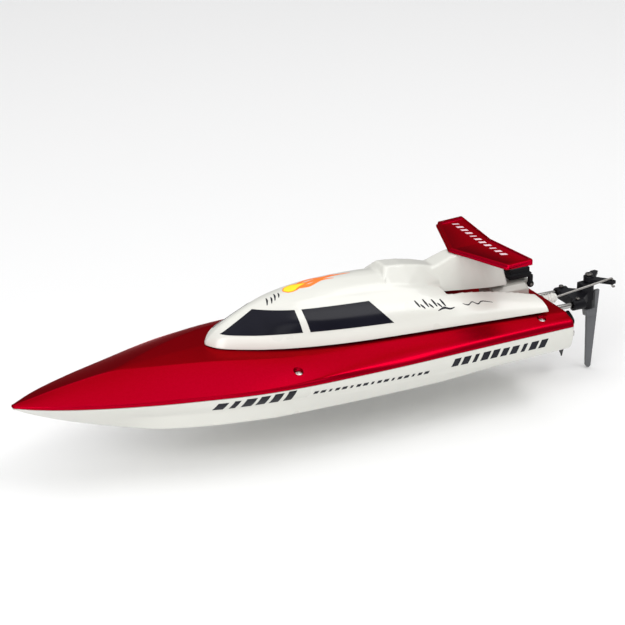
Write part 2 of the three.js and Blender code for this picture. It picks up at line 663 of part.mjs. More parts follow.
function tailHousing() {
  const foot = 7.8;
  const hump = (x, half, top) => ({
    x,
    ring: mirrored([
      [half, foot], [half, foot + (top - foot) * 0.55], [half * 0.72, foot + (top - foot) * 0.88], [0, top],
    ]),
  });
  const body = loft([
    hump(30, 8.4, 15), hump(12, 8.6, 15.5), hump(9, 8.6, 15.3), hump(7.6, 8.2, 14.2),
  ]);
  const lug = join(
    cylinderY(latchPin.x, -latch.lugHalf, latch.lugHalf, latchPin.z, 2, 16),
    block(latchPin.x, 9, -latch.lugHalf, latch.lugHalf, latchPin.z - 2, latchPin.z + 2),
  );
  return cut(join(body, lug), cylinderY(latchPin.x, -8, 8, latchPin.z, latch.boreRadius, 14));
}

// Two arms straddle the housing's lug and carry the pad that bears on the pillar's rear.
function latchLever() {
  const inner = latch.lugHalf + gap;
  const arms = [[inner, latch.half], [-latch.half, -inner]].map(([from, to]) => join(
    cylinderY(latchPin.x, from, to, latchPin.z, 2, 16),
    block(3.2, 5.8, from, to, latchPin.z, 18),
  ));
  const pad = block(4.2, 18.4, -latch.half, latch.half, 17, 19.6);
  const handle = block(4.8, 17, -4, 4, 19.2, 22.4);
  return cut(join(pad, handle, ...arms), cylinderY(latchPin.x, -8, 8, latchPin.z, latch.boreRadius, 14));
}

// ---------------------------------------------------------------- drive line
function propellerSolid() {
  const hub = turnedX([
    [-3.6, 0], [-3.6, 2.6], [-2.4, propeller.hubRadius], [3.6, propeller.hubRadius], [4.6, 2.6], [4.6, 0],
  ], 18);
  const blade = (turn) => {
    const outline = new THREE.Shape();
    outline.moveTo(-1.8, 2);
    outline.bezierCurveTo(-4.6, 5, -4.8, 10, -1.6, propeller.radius - 0.8);
    outline.quadraticCurveTo(-0.4, propeller.radius + 0.4, 0.8, propeller.radius - 1);
    outline.bezierCurveTo(3.4, 9.5, 3.4, 5, 1.8, 2);
    const geometry = new THREE.ExtrudeGeometry(outline, {
      depth: propeller.bladeThickness, bevelEnabled: false, curveSegments: 7,
    });
    geometry.translate(0, 0, -propeller.bladeThickness / 2);
    geometry.rotateY(propeller.bladePitch);
    geometry.rotateX(turn);
    return toManifold(geometry);
  };
  return cut(
    join(hub, blade(Math.PI / 2), blade(-Math.PI / 2)),
    cylinderX(-6, 6, 0, 0, shaft.radius + gap, 16),
  );
}

const driveLine = {
  propeller: propellerSolid,
  propeller_nut: () => cut(
    turnedX([[-6.4, 0], [-5.8, 2.2], [-3.9, 2.6], [-3.9, 0]], 12),
    cylinderX(-5.7, -3, 0, 0, shaft.radius + gap, 12),
  ),
  propeller_shaft: () => cylinderX(-5.4, 70, 0, 0, shaft.radius, 14),
  shaft_coupling: () => cut(
    turnedX([[63, 0], [63, 4], [70, 4], [71.5, 3], [74.5, 3], [76, 4], [83, 4], [83, 0]], 14),
    cylinderX(62, 70.6, 0, 0, shaft.radius + gap, 14),
    cylinderX(75.4, 84, 0, 0, 1 + gap, 14),
  ),
  motor_shaft: () => cylinderX(75.8, 92, 0, 0, 1, 12),
};

function sternTubeSolid() {
  return ringX(sternTube.start, sternTube.end, sternTube.inner, sternTube.outer, 18);
}

function bushing(atStart) {
  const sign = atStart ? 1 : -1;
  const face = atStart ? sternTube.start - gap : sternTube.end + gap;
  const flange = [face - sign * 1.4, face].sort((a, b) => a - b);
  const sleeve = [face - sign * 0.2, face + sign * 5].sort((a, b) => a - b);
  return cut(
    join(
      cylinderX(flange[0], flange[1], 0, 0, sternTube.outer, 18),
      cylinderX(sleeve[0], sleeve[1], 0, 0, sternTube.inner - gap, 18),
    ),
    cylinderX(0, 70, 0, 0, shaft.radius + 0.1, 18),
  );
}

const bellStart = motor.start + motor.length + gap;
const bellEnd = bellStart + motor.bellLength;
const jacketNipples = { intake: 9, outlet: 21 };
const hoseRadius = 1.9;
const motorParts = {
  motor_can: () => cut(
    join(
      cylinderX(motor.start, motor.start + motor.length, 0, 0, motor.radius, 24),
      cylinderX(motor.start - 2, motor.start + 1, 0, 0, 3.5, 16),
    ),
    cylinderX(motor.start - 3, motor.start + 6, 0, 0, 1 + gap, 14),
  ),
  motor_end_bell: () => join(
    turnedX([[bellStart, 0], [bellStart, 10.5], [bellStart + 4, 10.5], [bellEnd, 5], [bellEnd, 0]], 24),
    ...[6, -6].map((y) => block(bellStart + 3, bellStart + 8, y - 0.4, y + 0.4, -1.5, 1.5)),
  ),
  motor_mount: () => cut(
    block(motor.start - 2 - gap, motor.start - gap, -11, 11, -9, 12),
    cylinderX(motor.start - 4, motor.start + 1, 0, 0, 3.5 + gap, 20),
  ),
  cooling_jacket: () => join(
    ringX(motor.start + 5, motor.start + 25, motor.radius + gap, motor.radius + 2.2, 24),
    ...Object.values(jacketNipples).map((s) => cylinderY(motor.start + s, -18, -12, 0, 1.6, 12)),
  ),
};

// Tip of a nipple on the cooling jacket, s millimetres forward of the motor's aft face.
const nipple = (s) => {
  const [x, , z] = alongShaft(motor.start + s);
  return [x, -18 - gap, z];
};
const intakeHose = () => {
  const [x, y, z] = nipple(jacketNipples.intake);
  return hose([
    [13, intake.y, intake.z], [24, intake.y - 0.4, intake.z], [x - 22, y - 3, z - 1], [x - 5, y - 4.5, z],
    [x, y - 3, z], [x, y, z],
  ], hoseRadius, 14);
};
const outletHose = () => {
  const [x, y, z] = nipple(jacketNipples.outlet);
  return hose([
    [x, y, z], [x, y - 4, z], [x - 6, y - 10, z + 1], [x - 30, y - 12, -8], [24, outlet.y - 0.5, outlet.z],
    [13, outlet.y, outlet.z],
  ], hoseRadius, 18);
};

// ---------------------------------------------------------------- steering
function rudderTube(y) {
  return cylinderX(tubes.outer, tubes.inner, y, tubes.z, tubes.radius, 20);
}

const barrel = { radius: 3.1, z: -3.2 };
const clampPlaces = [
  ["port_tube_clamp_screw", -23.6, tubes.y],
  ["starboard_tube_clamp_screw", -25.4, -tubes.y],
];

function rudderBracket() {
  const sleeves = [
    cylinderX(-27.6, -20, tubes.y, barrel.z, barrel.radius, 16),
    cylinderX(-29, -22, -tubes.y, barrel.z, barrel.radius, 16),
  ];
  const web = prism([
    [-22, 9], [-22, -9], [-28, -9], [-35, -3.2], [-39, -3.2], [-39, 3.2], [-35, 3.2], [-28, 9],
  ], -6, -0.6);
  const upright = prism([[-31, -2.6], [-31, 2.6], [-36, 3.2], [-36, -3.2]], -8, 4.6);
  const boss = cylinderZ(rudderPivotX, 0, -11, 4.6, 3.2, 20);
  const bores = [
    cylinderX(-26.4, -10, tubes.y, tubes.z, tubes.radius + gap, 14),
    cylinderX(-26.4, -10, -tubes.y, tubes.z, tubes.radius + gap, 14),
    cylinderZ(rudderPivotX, 0, -12, 6, 1.35, 16),
    ...clampPlaces.map(([, x, y]) => cylinderZ(x, y, -3, 2, 0.9, 10)),
  ];
  return cut(join(...sleeves, web, upright, boss), ...bores);
}

function clampScrew(x, y) {
  const seat = barrel.z + barrel.radius + gap;
  return join(
    cylinderZ(x, y, seat, seat + 1, 1.4, 12),
    cylinderZ(x, y, seat - 1.4, seat + 0.2, 0.6, 10),
  );
}

const rudder = { top: -11.4, tip: -48.1, thickness: 1.8 };

function rudderBlade() {
  const blade = sidePrism([
    [-36.2, rudder.top], [-37, -46.2], [-37.9, -47.7], [-39.6, rudder.tip], [-40.4, -47.2], [-44.4, -1.2],
    [-41.2, -1.2], [-41.2, rudder.top],
  ], -rudder.thickness / 2, rudder.thickness / 2);
  const head = sidePrism([[-34.6, rudder.top], [-35.4, -16], [-41, -16], [-41.2, rudder.top]], -2.2, 2.2);
  return cut(join(blade, head), cylinderZ(rudderPivotX, 0, -16.5, -10, 1.2 + gap, 16));
}

const rudderStock = () => cylinderZ(rudderPivotX, 0, -15.6, 8.6, 1.2, 16);

function tillerArm() {
  const top = tillerZ + 1;
  const bottom = tillerZ - 1;
  const hub = cylinderZ(rudderPivotX, 0, 4.9, 8.2, 3, 20);
  const portArm = prism([
    [-36, 2.8], [-45, 12.2], [-48, 11.2], [-47.6, 8.6], [-40, -0.6], [-37, -1],
  ], bottom, top);
  const starboardArm = prism([
    [-37, 1], [-41, 0.6], [-47.4, -6.4], [-46.4, -8.4], [-43.6, -8.2], [-36, -2.8],
  ], bottom, top);
  return cut(
    join(hub, portArm, starboardArm),
    cylinderZ(rudderPivotX, 0, 0, 12, 1.2 + gap, 16),
    cylinderZ(tillerHole.x, tillerHole.y, 0, 12, rod.radius + 0.5, 12),
  );
}

const pivotScrew = () => join(
  cylinderZ(rudderPivotX, 0, 8.9, 10, 2.2, 18),
  cylinderZ(rudderPivotX, 0, 8.85, 9, 1, 12),
);

const rodZ = (x) => rod.zAtTransom - rodSlope * x;

function pushrodWire() {
  const { x, y } = tillerHole;
  const section = new THREE.Shape().absarc(0, 0, rod.radius, 0, Math.PI * 2);
  const points = [
    [rod.front, y, rodZ(rod.front)], [x + 2.4, y, rodZ(x + 2.4)], [x + 0.7, y, rodZ(x) - 0.2],
    [x, y, rodZ(x) - 1.2], [x, y, tillerZ - 2.2], [x - 0.5, y, tillerZ - 3.1],
    [x - 1.8, y - 0.6, tillerZ - 3.4],
  ].map((point) => new THREE.Vector3(...point));
  const curve = new THREE.CatmullRomCurve3(points, false, "catmullrom", 0.3);
  return toManifold(new THREE.ExtrudeGeometry(section, {
    steps: 26, extrudePath: curve, bevelEnabled: false, curveSegments: 4,
  }));
}

function rodBoot() {
  const { neck, bore } = boot;
  const profile = [
    [-9.4, bore], [-9.4, 2.3], [-7.6, 2.9], [-6.2, 2.3], [-4.8, 3], [-3.4, 2.3], [-2.5, 3.1], [-1.1, 3.1],
    [-1.1, neck], [1.9, neck], [1.9, bore],
  ];
  const points = [...profile, profile[0]].map(([x, radius]) => new THREE.Vector2(radius, x));
  const geometry = new THREE.LatheGeometry(points, 14);
  geometry.rotateZ(-Math.PI / 2);
  return toManifold(geometry)
    .rotate([0, THREE.MathUtils.radToDeg(Math.atan(rodSlope)), 0])
    .translate([0, boot.y, rod.zAtTransom]);
}

const servoTop = servo.armTop - 2;
const servoParts = {
  servo_body: () => join(
    block(18, 38, 14.5, 26, servoTop - 11.5, servoTop),
    block(15, 41, 16, 25, servoTop - 4, servoTop - 2.5),
    cylinderZ(servo.x, servo.y, servoTop - 0.5, servoTop + 0.4, 2.6, 18),
  ),
  servo_arm: () => join(
    cylinderZ(servo.x, servo.y, servoTop + 0.4 + gap, servo.armTop, 3, 18),
    prism([
      [servo.x - 2.4, servo.y], [servo.x + 2.4, servo.y],
      [servo.x + 1.6, servo.armTipY], [servo.x - 1.6, servo.armTipY],
    ], servoTop + 0.4 + gap, servo.armTop),
  ),
};

// ---------------------------------------------------------------- battery and electronics
const innerParts = {
  battery_pack: () => join(
    ...[-8.7, 8.7].map((y) => cylinderX(108, 160, y, -12.6, 8.5, 24)),
    block(108, 160, -8.7, 8.7, -18, -7),
  ),
  battery_strap: () => cut(
    block(130, 138, -18.3, 18.3, -22, -3),
    block(129, 139, -17.5, 17.5, -21.4, -3.7),
  ),
  control_board: () => join(
    block(190, 230, -11, 11, -13.6, -12),
    block(196, 206, -6, 4, -12.2, -8),
    block(212, 218, -5, 7, -12.2, -9.6),
  ),
  intake_pipe: () => cylinderX(-9, 12.6, intake.y, intake.z, 1.5, 14),
  outlet_nozzle: () => cylinderX(-5, 12.6, outlet.y, outlet.z, 1.5, 14),
};

function waterContact(y) {
  return join(
    cylinderZ(contactX, y, -28.7, -20, 1, 12),
    cylinderZ(contactX, y, -29.4, -28.6, 1.9, 14),
  );
}

// ---------------------------------------------------------------- assembly
const boat = new THREE.Group();

function place(name, solid, material) {
  const mesh = new THREE.Mesh(toGeometry(solid), material);
  mesh.name = name;
  boat.add(mesh);
}

place("lower_hull", lowerHull(), ivory);
place("upper_deck", upperDeck(), redPaint);
place("seam_gasket", seamGasket(), rubber);
for (const [name, x, y, seat] of deckScrewPlaces) place(name, deckScrew(x, y, seat), steel);

place("hatch_seal", hatchSeal(), rubber);
place("inner_hatch_cover", hatchCover(), ivory);
for (const [name, x, y] of hatchScrewPlaces) place(name, hatchScrew(x, y), steel);

place("canopy_shell", canopyShell(), ivory);
for (const [end, shape] of Object.entries(windows)) {
  place(`port_${end}_window`, windowPanel(shape, 1), windowBlack);
  place(`starboard_${end}_window`, windowPanel(shape, -1), windowBlack);
}
place("rear_wing", rearWing(), redPaint);
for (const [name, x] of wingScrewPlaces) place(name, wingScrew(x), steel);

place("tail_housing", tailHousing(), ivory);
place("latch_lever", latchLever(), blackPlastic);
place("latch_pin", cylinderY(latchPin.x, -5.6, 5.6, latchPin.z, 0.8, 14), steel);

place("propeller", onShaft(driveLine.propeller()), blackPlastic);
place("propeller_nut", onShaft(driveLine.propeller_nut()), steel);
place("propeller_shaft", onShaft(driveLine.propeller_shaft()), steel);
place("shaft_coupling", onShaft(driveLine.shaft_coupling()), brass);
place("motor_shaft", onShaft(driveLine.motor_shaft()), steel);
place("stern_tube", onShaft(sternTubeSolid()), brass);
place("aft_bushing", onShaft(bushing(true)), brass);
place("fore_bushing", onShaft(bushing(false)), brass);
for (const [name, make] of Object.entries(motorParts)) {
  place(name, onShaft(make()), name === "motor_mount" ? blackPlastic : steel);
}

place("port_rudder_tube", rudderTube(tubes.y), steel);
place("starboard_rudder_tube", rudderTube(-tubes.y), steel);
place("rudder_bracket", rudderBracket(), blackPlastic);
for (const [name, x, y] of clampPlaces) place(name, clampScrew(x, y), steel);
place("rudder_blade", rudderBlade(), greyPlastic);
place("rudder_stock", rudderStock(), steel);
place("tiller_arm", tillerArm(), blackPlastic);
place("tiller_screw", pivotScrew(), steel);
place("pushrod", pushrodWire(), steel);
place("pushrod_boot", rodBoot(), whiteRubber);
place("servo_body", servoParts.servo_body(), blackPlastic);
place("servo_arm", servoParts.servo_arm(), ivory);

place("battery_pack", innerParts.battery_pack(), blueWrap);
place("battery_strap", innerParts.battery_strap(), rubber);
place("control_board", innerParts.control_board(), greenBoard);
for (const [name, y] of contactPlaces) place(name, waterContact(y), brass);
place("intake_pipe", innerParts.intake_pipe(), brass);
place("outlet_nozzle", innerParts.outlet_nozzle(), brass);
place("intake_hose", intakeHose(), whiteRubber);
place("outlet_hose", outletHose(), whiteRubber);

const extent = new THREE.Box3().setFromObject(boat);
boat.position.set(-(extent.min.x + extent.max.x) / 2, 0, -extent.min.z);

const model = new THREE.Group();
model.add(boat);
export default model;
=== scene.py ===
"""Looks of the radio-controlled racing boat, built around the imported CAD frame.

Shapes are worked out in millimetres in the boat's own frame (x forward from the transom, y to port,
z up from the hull seam), and settle() moves each finished piece into the row frame in metres.
"""
import json
import math

import bmesh
import bpy
import numpy as np
from mathutils import Matrix, Vector
from mathutils.bvhtree import BVHTree


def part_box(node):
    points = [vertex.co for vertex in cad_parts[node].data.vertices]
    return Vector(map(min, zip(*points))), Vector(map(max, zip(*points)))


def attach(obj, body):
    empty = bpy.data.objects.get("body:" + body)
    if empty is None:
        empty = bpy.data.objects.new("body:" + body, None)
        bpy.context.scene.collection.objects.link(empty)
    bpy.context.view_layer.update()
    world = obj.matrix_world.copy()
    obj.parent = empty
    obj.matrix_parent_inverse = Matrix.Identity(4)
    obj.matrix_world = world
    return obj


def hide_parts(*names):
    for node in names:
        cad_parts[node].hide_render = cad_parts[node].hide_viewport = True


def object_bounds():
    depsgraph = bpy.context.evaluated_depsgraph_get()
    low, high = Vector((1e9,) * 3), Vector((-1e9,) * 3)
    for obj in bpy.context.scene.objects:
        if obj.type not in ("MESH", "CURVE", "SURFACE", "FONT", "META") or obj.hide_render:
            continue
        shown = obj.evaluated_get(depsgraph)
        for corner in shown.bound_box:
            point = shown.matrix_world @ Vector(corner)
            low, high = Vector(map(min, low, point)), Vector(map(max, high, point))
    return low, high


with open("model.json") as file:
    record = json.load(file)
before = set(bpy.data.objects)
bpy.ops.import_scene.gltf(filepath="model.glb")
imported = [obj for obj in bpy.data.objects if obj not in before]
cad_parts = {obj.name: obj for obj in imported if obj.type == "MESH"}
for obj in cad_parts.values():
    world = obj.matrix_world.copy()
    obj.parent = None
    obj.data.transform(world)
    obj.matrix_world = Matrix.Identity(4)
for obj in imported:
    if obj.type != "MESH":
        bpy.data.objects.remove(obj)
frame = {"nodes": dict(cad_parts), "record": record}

CAD_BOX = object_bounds()
MM = 0.001
UP, AHEAD = (0, 0, 1), (1, 0, 0)
SIDES = {"port": 1, "starboard": -1}

# ---- places taken from the frame
HULL_LOW, HULL_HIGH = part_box("lower_hull")
SEAM_GAP = 0.3
ORIGIN = Vector((HULL_LOW.x, 0.0, HULL_HIGH.z + SEAM_GAP / 2 * MM))


def boat_box(node):
    """A CAD node's box in boat millimetres: (low, high)."""
    low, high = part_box(node)
    return (low - ORIGIN) / MM, (high - ORIGIN) / MM


def middle(node):
    low, high = boat_box(node)
    return (low + high) / 2


# ---- camera, floor and light
CAMERA_AZIMUTH = math.radians(62.612)
CAMERA_ELEVATION = math.radians(22.377)
CAMERA_DISTANCE = 1.3905
CAMERA_LENS = 150.28
CAMERA_SENSOR = 36.0
CAMERA_REACH = 20.0
CAMERA_TARGET = ORIGIN + Vector((138.135, 0.0, 18.717)) * MM
FLOOR_HALF = 4.0
FLOOR_DROP = 0.0003
FLOOR_TONE = (0.9, 0.9, 0.9, 1)
SKY_LOW, SKY_HIGH = (0.15, (0.36, 0.36, 0.37, 1)), (0.75, (1, 1, 1, 1))
SKY_STRENGTH = 0.62
LIGHT_AIM = Vector((0, 0, 0.05))
# Name, place, size and watts of each softbox, in the row frame.
LIGHTS = (
    ("port_softbox", (0.75, 1.15, 1.0), (1.8, 1.0), 10),
    ("overhead_softbox", (-0.35, -0.1, 1.7), (2.6, 2.0), 10.5),
    ("bow_softbox", (1.5, 0.9, 0.75), (1.0, 1.0), 14),
    ("gunwale_strip", (-0.7, 0.6, 1.48), (1.1, 0.45), 5.5),
)


def placed(name, data):
    """A new object of some mesh, camera or light data, in the scene."""
    made = bpy.data.objects.new(name, data)
    bpy.context.collection.objects.link(made)
    return made


def add_camera():
    data = bpy.data.cameras.new("camera")
    data.lens = CAMERA_LENS
    data.sensor_width = CAMERA_SENSOR
    data.clip_end = CAMERA_REACH
    camera = placed("camera", data)
    out = Vector((
        math.cos(CAMERA_AZIMUTH) * math.cos(CAMERA_ELEVATION),
        math.sin(CAMERA_AZIMUTH) * math.cos(CAMERA_ELEVATION),
        math.sin(CAMERA_ELEVATION),
    ))
    camera.location = CAMERA_TARGET + out * CAMERA_DISTANCE
    camera.rotation_euler = out.to_track_quat("Z", "Y").to_euler()
    bpy.context.scene.camera = camera


def add_light(name, place, size, power):
    data = bpy.data.lights.new(name, "AREA")
    data.shape = "RECTANGLE"
    data.size, data.size_y = size
    data.energy = power
    lamp = placed(name, data)
    lamp.location = Vector(place)
    lamp.rotation_euler = (lamp.location - LIGHT_AIM).to_track_quat("Z", "Y").to_euler()


def add_stage():
    mesh = bpy.data.meshes.new("floor")
    corners = [(x * FLOOR_HALF, y * FLOOR_HALF, 0) for x, y in ((-1, -1), (1, -1), (1, 1), (-1, 1))]
    mesh.from_pydata(corners, [], [(0, 1, 2, 3)])
    floor = placed("floor", mesh)
    floor.location.z = CAD_BOX[0][2] - FLOOR_DROP
    paper, _, shader = shader_nodes("floor_paper")
    dress(shader, Base_Color=FLOOR_TONE, Roughness=0.9)
    floor.data.materials.append(paper)
    add_world()
    bpy.context.scene.view_settings.view_transform = "Standard"
    for light in LIGHTS:
        add_light(*light)


def add_world():
    """Soft studio dome: bright overhead, darker towards the horizon."""
    world = bpy.data.worlds.new("studio")
    world.use_nodes = True
    tree = world.node_tree
    background = dress(tree.nodes["Background"], Strength=SKY_STRENGTH)
    place = tree.nodes.new("ShaderNodeTexCoord")
    split = tree.nodes.new("ShaderNodeSeparateXYZ")
    ramp = colour_ramp(tree, SKY_LOW, SKY_HIGH)
    wire(tree, place, "Generated", split, "Vector")
    wire(tree, split, "Z", ramp, "Fac")
    wire(tree, ramp, "Color", background, "Color")
    bpy.context.scene.world = world


# ---- materials
TONE_SCALE, GRAIN_DEPTH = 35.0, 0.0001
FLAKE_SCALE, PEEL_SCALE = 5200.0, 420.0
LACQUER_GLOSS, LACQUER_ROUGH = (0.30, 0.0, 0.012, 1), (0.29, 0.37)
LINE_STRETCH, LINE_DEPTH = (60, 2400, 2400), 0.00002


def shader_nodes(name):
    """A new material, its node tree and its main shader."""
    made = bpy.data.materials.new(name)
    made.use_nodes = True
    tree = made.node_tree
    return made, tree, tree.nodes["Principled BSDF"]


def dress(node, **values):
    """Sets a node's sockets; an underscore in a name stands for a space."""
    for key, value in values.items():
        node.inputs[key.replace("_", " ")].default_value = value
    return node


def wire(tree, source, output, target, socket):
    tree.links.new(source.outputs[output], target.inputs[socket])


def on_object(tree, kind, **values):
    """Texture node laid on the object's own coordinates."""
    node = dress(tree.nodes.new(kind), **values)
    wire(tree, tree.nodes.new("ShaderNodeTexCoord"), "Object", node, "Vector")
    return node


def colour_ramp(tree, first, last):
    """Colour ramp between two (position, colour) ends."""
    ramp = tree.nodes.new("ShaderNodeValToRGB")
    for element, (position, colour) in zip(ramp.color_ramp.elements, (first, last)):
        element.position = position
        element.color = colour
    return ramp


def finish(tree, shader, tone, colours, gloss, rough, grain, strength, depth):
    """Colours, roughness and bump of a shader, driven by the (node, output) pairs tone, gloss and grain."""
    ramp = colour_ramp(tree, (0.3, (*colours[0], 1)), (0.7, (*colours[1], 1)))
    wire(tree, *tone, ramp, "Fac")
    wire(tree, ramp, "Color", shader, "Base Color")
    ranged = dress(tree.nodes.new("ShaderNodeMapRange"), To_Min=rough[0], To_Max=rough[1])
    wire(tree, *gloss, ranged, "Value")
    wire(tree, ranged, "Result", shader, "Roughness")
    bump = dress(tree.nodes.new("ShaderNodeBump"), Strength=strength, Distance=depth)
    wire(tree, *grain, bump, "Height")
    wire(tree, bump, "Normal", shader, "Normal")


def moulded(name, low, high, rough, grain_scale, grain, coat=0.0, gloss=0.5):
    """Moulded material: slow tone changes, fine surface grain and uneven gloss."""
    made, tree, shader = shader_nodes(name)
    slow = on_object(tree, "ShaderNodeTexNoise", Scale=TONE_SCALE, Detail=3.0, Roughness=0.55), "Fac"
    fine = on_object(tree, "ShaderNodeTexNoise", Scale=grain_scale, Detail=2.0, Roughness=0.55), "Fac"
    finish(tree, shader, slow, (low, high), slow, rough, fine, grain, GRAIN_DEPTH)
    dress(shader, Specular_IOR_Level=gloss, Coat_Weight=coat, Coat_Roughness=0.06)
    return made


def lacquer(name, deep, bright):
    """Metallic red lacquer: a faint, very fine sparkle and slow orange peel, with red-tinted gloss."""
    made, tree, shader = shader_nodes(name)
    flakes = on_object(tree, "ShaderNodeTexVoronoi", Scale=FLAKE_SCALE)
    split = tree.nodes.new("ShaderNodeSeparateColor")
    wire(tree, flakes, "Color", split, "Color")
    peel = on_object(tree, "ShaderNodeTexNoise", Scale=PEEL_SCALE, Detail=1.0, Roughness=0.55)
    finish(tree, shader, (split, "Red"), (deep, bright), (split, "Green"), LACQUER_ROUGH, (peel, "Fac"),
           0.02, GRAIN_DEPTH)
    dress(shader, Metallic=0.92, Specular_IOR_Level=0.08, Specular_Tint=LACQUER_GLOSS)
    return made


def brushed(name, low, high, rough):
    """Drawn or turned metal with fine lines along the boat."""
    made, tree, shader = shader_nodes(name)
    stretch = on_object(tree, "ShaderNodeMapping", Scale=LINE_STRETCH)
    noise = dress(tree.nodes.new("ShaderNodeTexNoise"), Scale=1.0, Detail=2.0)
    wire(tree, stretch, "Vector", noise, "Vector")
    lines = noise, "Fac"
    finish(tree, shader, lines, (low, high), lines, rough, lines, 0.02, LINE_DEPTH)
    dress(shader, Metallic=1.0)
    return made


# Slot or extra finish: name, low and high tone, roughness range, grain scale and strength, coat, gloss.
# INK holds the last five for printed marks.
INK = ((0.3, 0.4), 1500, 0.05, 0, 0.2)
MOULDED = {
    "ivory": ("ivory_gloss", (0.638, 0.636, 0.588), (0.65, 0.648, 0.6), (0.26, 0.3), 60, 0.004, 0.35),
    # Darker copy of the ivory: painted shade for the shadow the wing casts on the tail housing.
    "painted_shade_ivory": ("warm_ivory", (0.44, 0.43, 0.39), (0.455, 0.445, 0.405), (0.3, 0.36), 60, 0.004, 0.2),
    "window_black": ("window_gloss", (0.003, 0.003, 0.007), (0.006, 0.006, 0.012),
                     (0.14, 0.22), 700, 0.02, 0, 0.14),
    "black_plastic": ("black_satin", (0.002, 0.002, 0.003), (0.005, 0.005, 0.007),
                      (0.4, 0.5), 2600, 0.12, 0, 0.14),
    "grey_plastic": ("grey_satin", (0.09, 0.093, 0.1), (0.13, 0.133, 0.14), (0.35, 0.48), 2400, 0.2),
    "white_plastic": ("white_satin", (0.74, 0.74, 0.7), (0.82, 0.82, 0.78), (0.35, 0.45), 2000, 0.1),
    "black_rubber": ("black_rubber", (0.012, 0.012, 0.012), (0.022, 0.022, 0.022), (0.7, 0.85), 1800, 0.3),
    "white_rubber": ("white_rubber", (0.66, 0.66, 0.62), (0.78, 0.78, 0.74), (0.5, 0.65), 1600, 0.15),
    "battery_wrap": ("blue_wrap", (0.015, 0.07, 0.3), (0.03, 0.11, 0.42), (0.2, 0.32), 500, 0.3, 0.3),
    "circuit_board": ("green_mask", (0.01, 0.11, 0.045), (0.02, 0.17, 0.07), (0.35, 0.5), 1500, 0.3),
    "ink_navy": ("navy_ink", (0.004, 0.004, 0.009), (0.009, 0.009, 0.016), *INK),
    "ink_yellow": ("yellow_ink", (0.92, 0.66, 0.015), (0.95, 0.76, 0.03), *INK),
    "ink_orange": ("orange_ink", (0.92, 0.16, 0.015), (0.95, 0.26, 0.03), *INK),
    "ink_pink": ("pink_ink", (0.8, 0.55, 0.62), (0.88, 0.66, 0.72), (0.3, 0.4), 1500, 0.05, 0.3),
}
BRUSHED = {
    "steel": ("polished_steel", (0.5, 0.485, 0.46), (0.6, 0.585, 0.56), (0.16, 0.26)),
    "motor_steel": ("plated_steel", (0.45, 0.45, 0.44), (0.62, 0.62, 0.6), (0.25, 0.4)),
    "brass": ("turned_brass", (0.6, 0.42, 0.17), (0.78, 0.58, 0.28), (0.15, 0.3)),
    "dark_steel": ("blued_steel", (0.1, 0.095, 0.09), (0.16, 0.15, 0.14), (0.3, 0.45)),
    "tube_steel": ("drawn_tube", (0.36, 0.35, 0.335), (0.44, 0.43, 0.41), (0.1, 0.18)),
    "wire_steel": ("dull_steel", (0.26, 0.25, 0.235), (0.34, 0.325, 0.31), (0.3, 0.42)),
    # Lighter, rougher copy of the steel: painted light for screw heads lit from overhead.
    "screw_steel": ("bright_steel", (0.58, 0.57, 0.55), (0.72, 0.71, 0.69), (0.35, 0.5)),
}
LACQUERED = {
    "red_paint": ("candy_red", (0.39, 0.0, 0.011), (0.45, 0.0003, 0.017)),
    "red_wing": ("wing_red", (0.4, 0.0, 0.014), (0.46, 0.0005, 0.022)),
}


# ---- mesh helpers, in boat millimetres
def new_object(name, vertices, faces):
    mesh = bpy.data.meshes.new(name)
    mesh.from_pydata([tuple(float(c) for c in v) for v in vertices], [], faces)
    mesh.update()
    return placed(name, mesh)


def tidy_mesh(piece, merge=1e-4):
    work = bmesh.new()
    work.from_mesh(piece.data)
    bmesh.ops.remove_doubles(work, verts=work.verts, dist=merge)
    bmesh.ops.recalc_face_normals(work, faces=work.faces)
    work.to_mesh(piece.data)
    work.free()
    return piece


def modified(piece, kind, **settings):
    """The piece with one modifier worked into its mesh."""
    step = piece.modifiers.new(kind.lower(), kind)
    for key, value in settings.items():
        setattr(step, key, value)
    graph = bpy.context.evaluated_depsgraph_get()
    baked = bpy.data.meshes.new_from_object(piece.evaluated_get(graph))
    old = piece.data
    piece.modifiers.clear()
    piece.data = baked
    bpy.data.meshes.remove(old)
    return piece


def boolean(body, tool, operation):
    """Joins or cuts two closed pieces and removes the tool."""
    modified(body, "BOOLEAN", operation=operation, object=tool, solver="MANIFOLD")
    bpy.data.objects.remove(tool)
    return body


def cut(body, *tools):
    for tool in tools:
        boolean(body, tool, "DIFFERENCE")
    return body


def union(body, *tools):
    for tool in tools:
        boolean(body, tool, "UNION")
    return body


def mould_softened(piece, voxel, rounds):
    """Rounds every edge the way a mould does."""
    modified(piece, "REMESH", mode="VOXEL", voxel_size=voxel)
    return modified(piece, "SMOOTH", factor=0.5, iterations=rounds)


def smooth_shaded(piece, angle):
    for face in piece.data.polygons:
        face.use_smooth = True
    piece.data.set_sharp_from_angle(angle=math.radians(angle))
    return piece


def settle(piece, body, material, slot, *replaced, angle=35):
    """Puts a finished piece into the row frame, on its CAD body."""
    piece.data.transform(Matrix.Translation(ORIGIN) @ Matrix.Scale(MM, 4))
    smooth_shaded(piece, angle)
    piece.data.materials.clear()
    piece.data.materials.append(MATERIALS[material])
    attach(piece, body)
    if replaced:
        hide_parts(*replaced)
    return piece


def grid_faces(rows, columns, closed=False):
    faces = []
    wrap = columns if closed else columns - 1
    for r in range(rows - 1):
        for c in range(wrap):
            n = (c + 1) % columns
            faces.append((r * columns + c, r * columns + n, (r + 1) * columns + n, (r + 1) * columns + c))
    return faces


def loft(name, rings):
    """Closed solid through equal rings of points, capped at both ends."""
    rows, columns = len(rings), len(rings[0])
    faces = grid_faces(rows, columns, closed=True)
    faces.append(tuple(range(columns)))
    faces.append(tuple(range((rows - 1) * columns, rows * columns)))
    return tidy_mesh(new_object(name, np.concatenate(rings), faces))


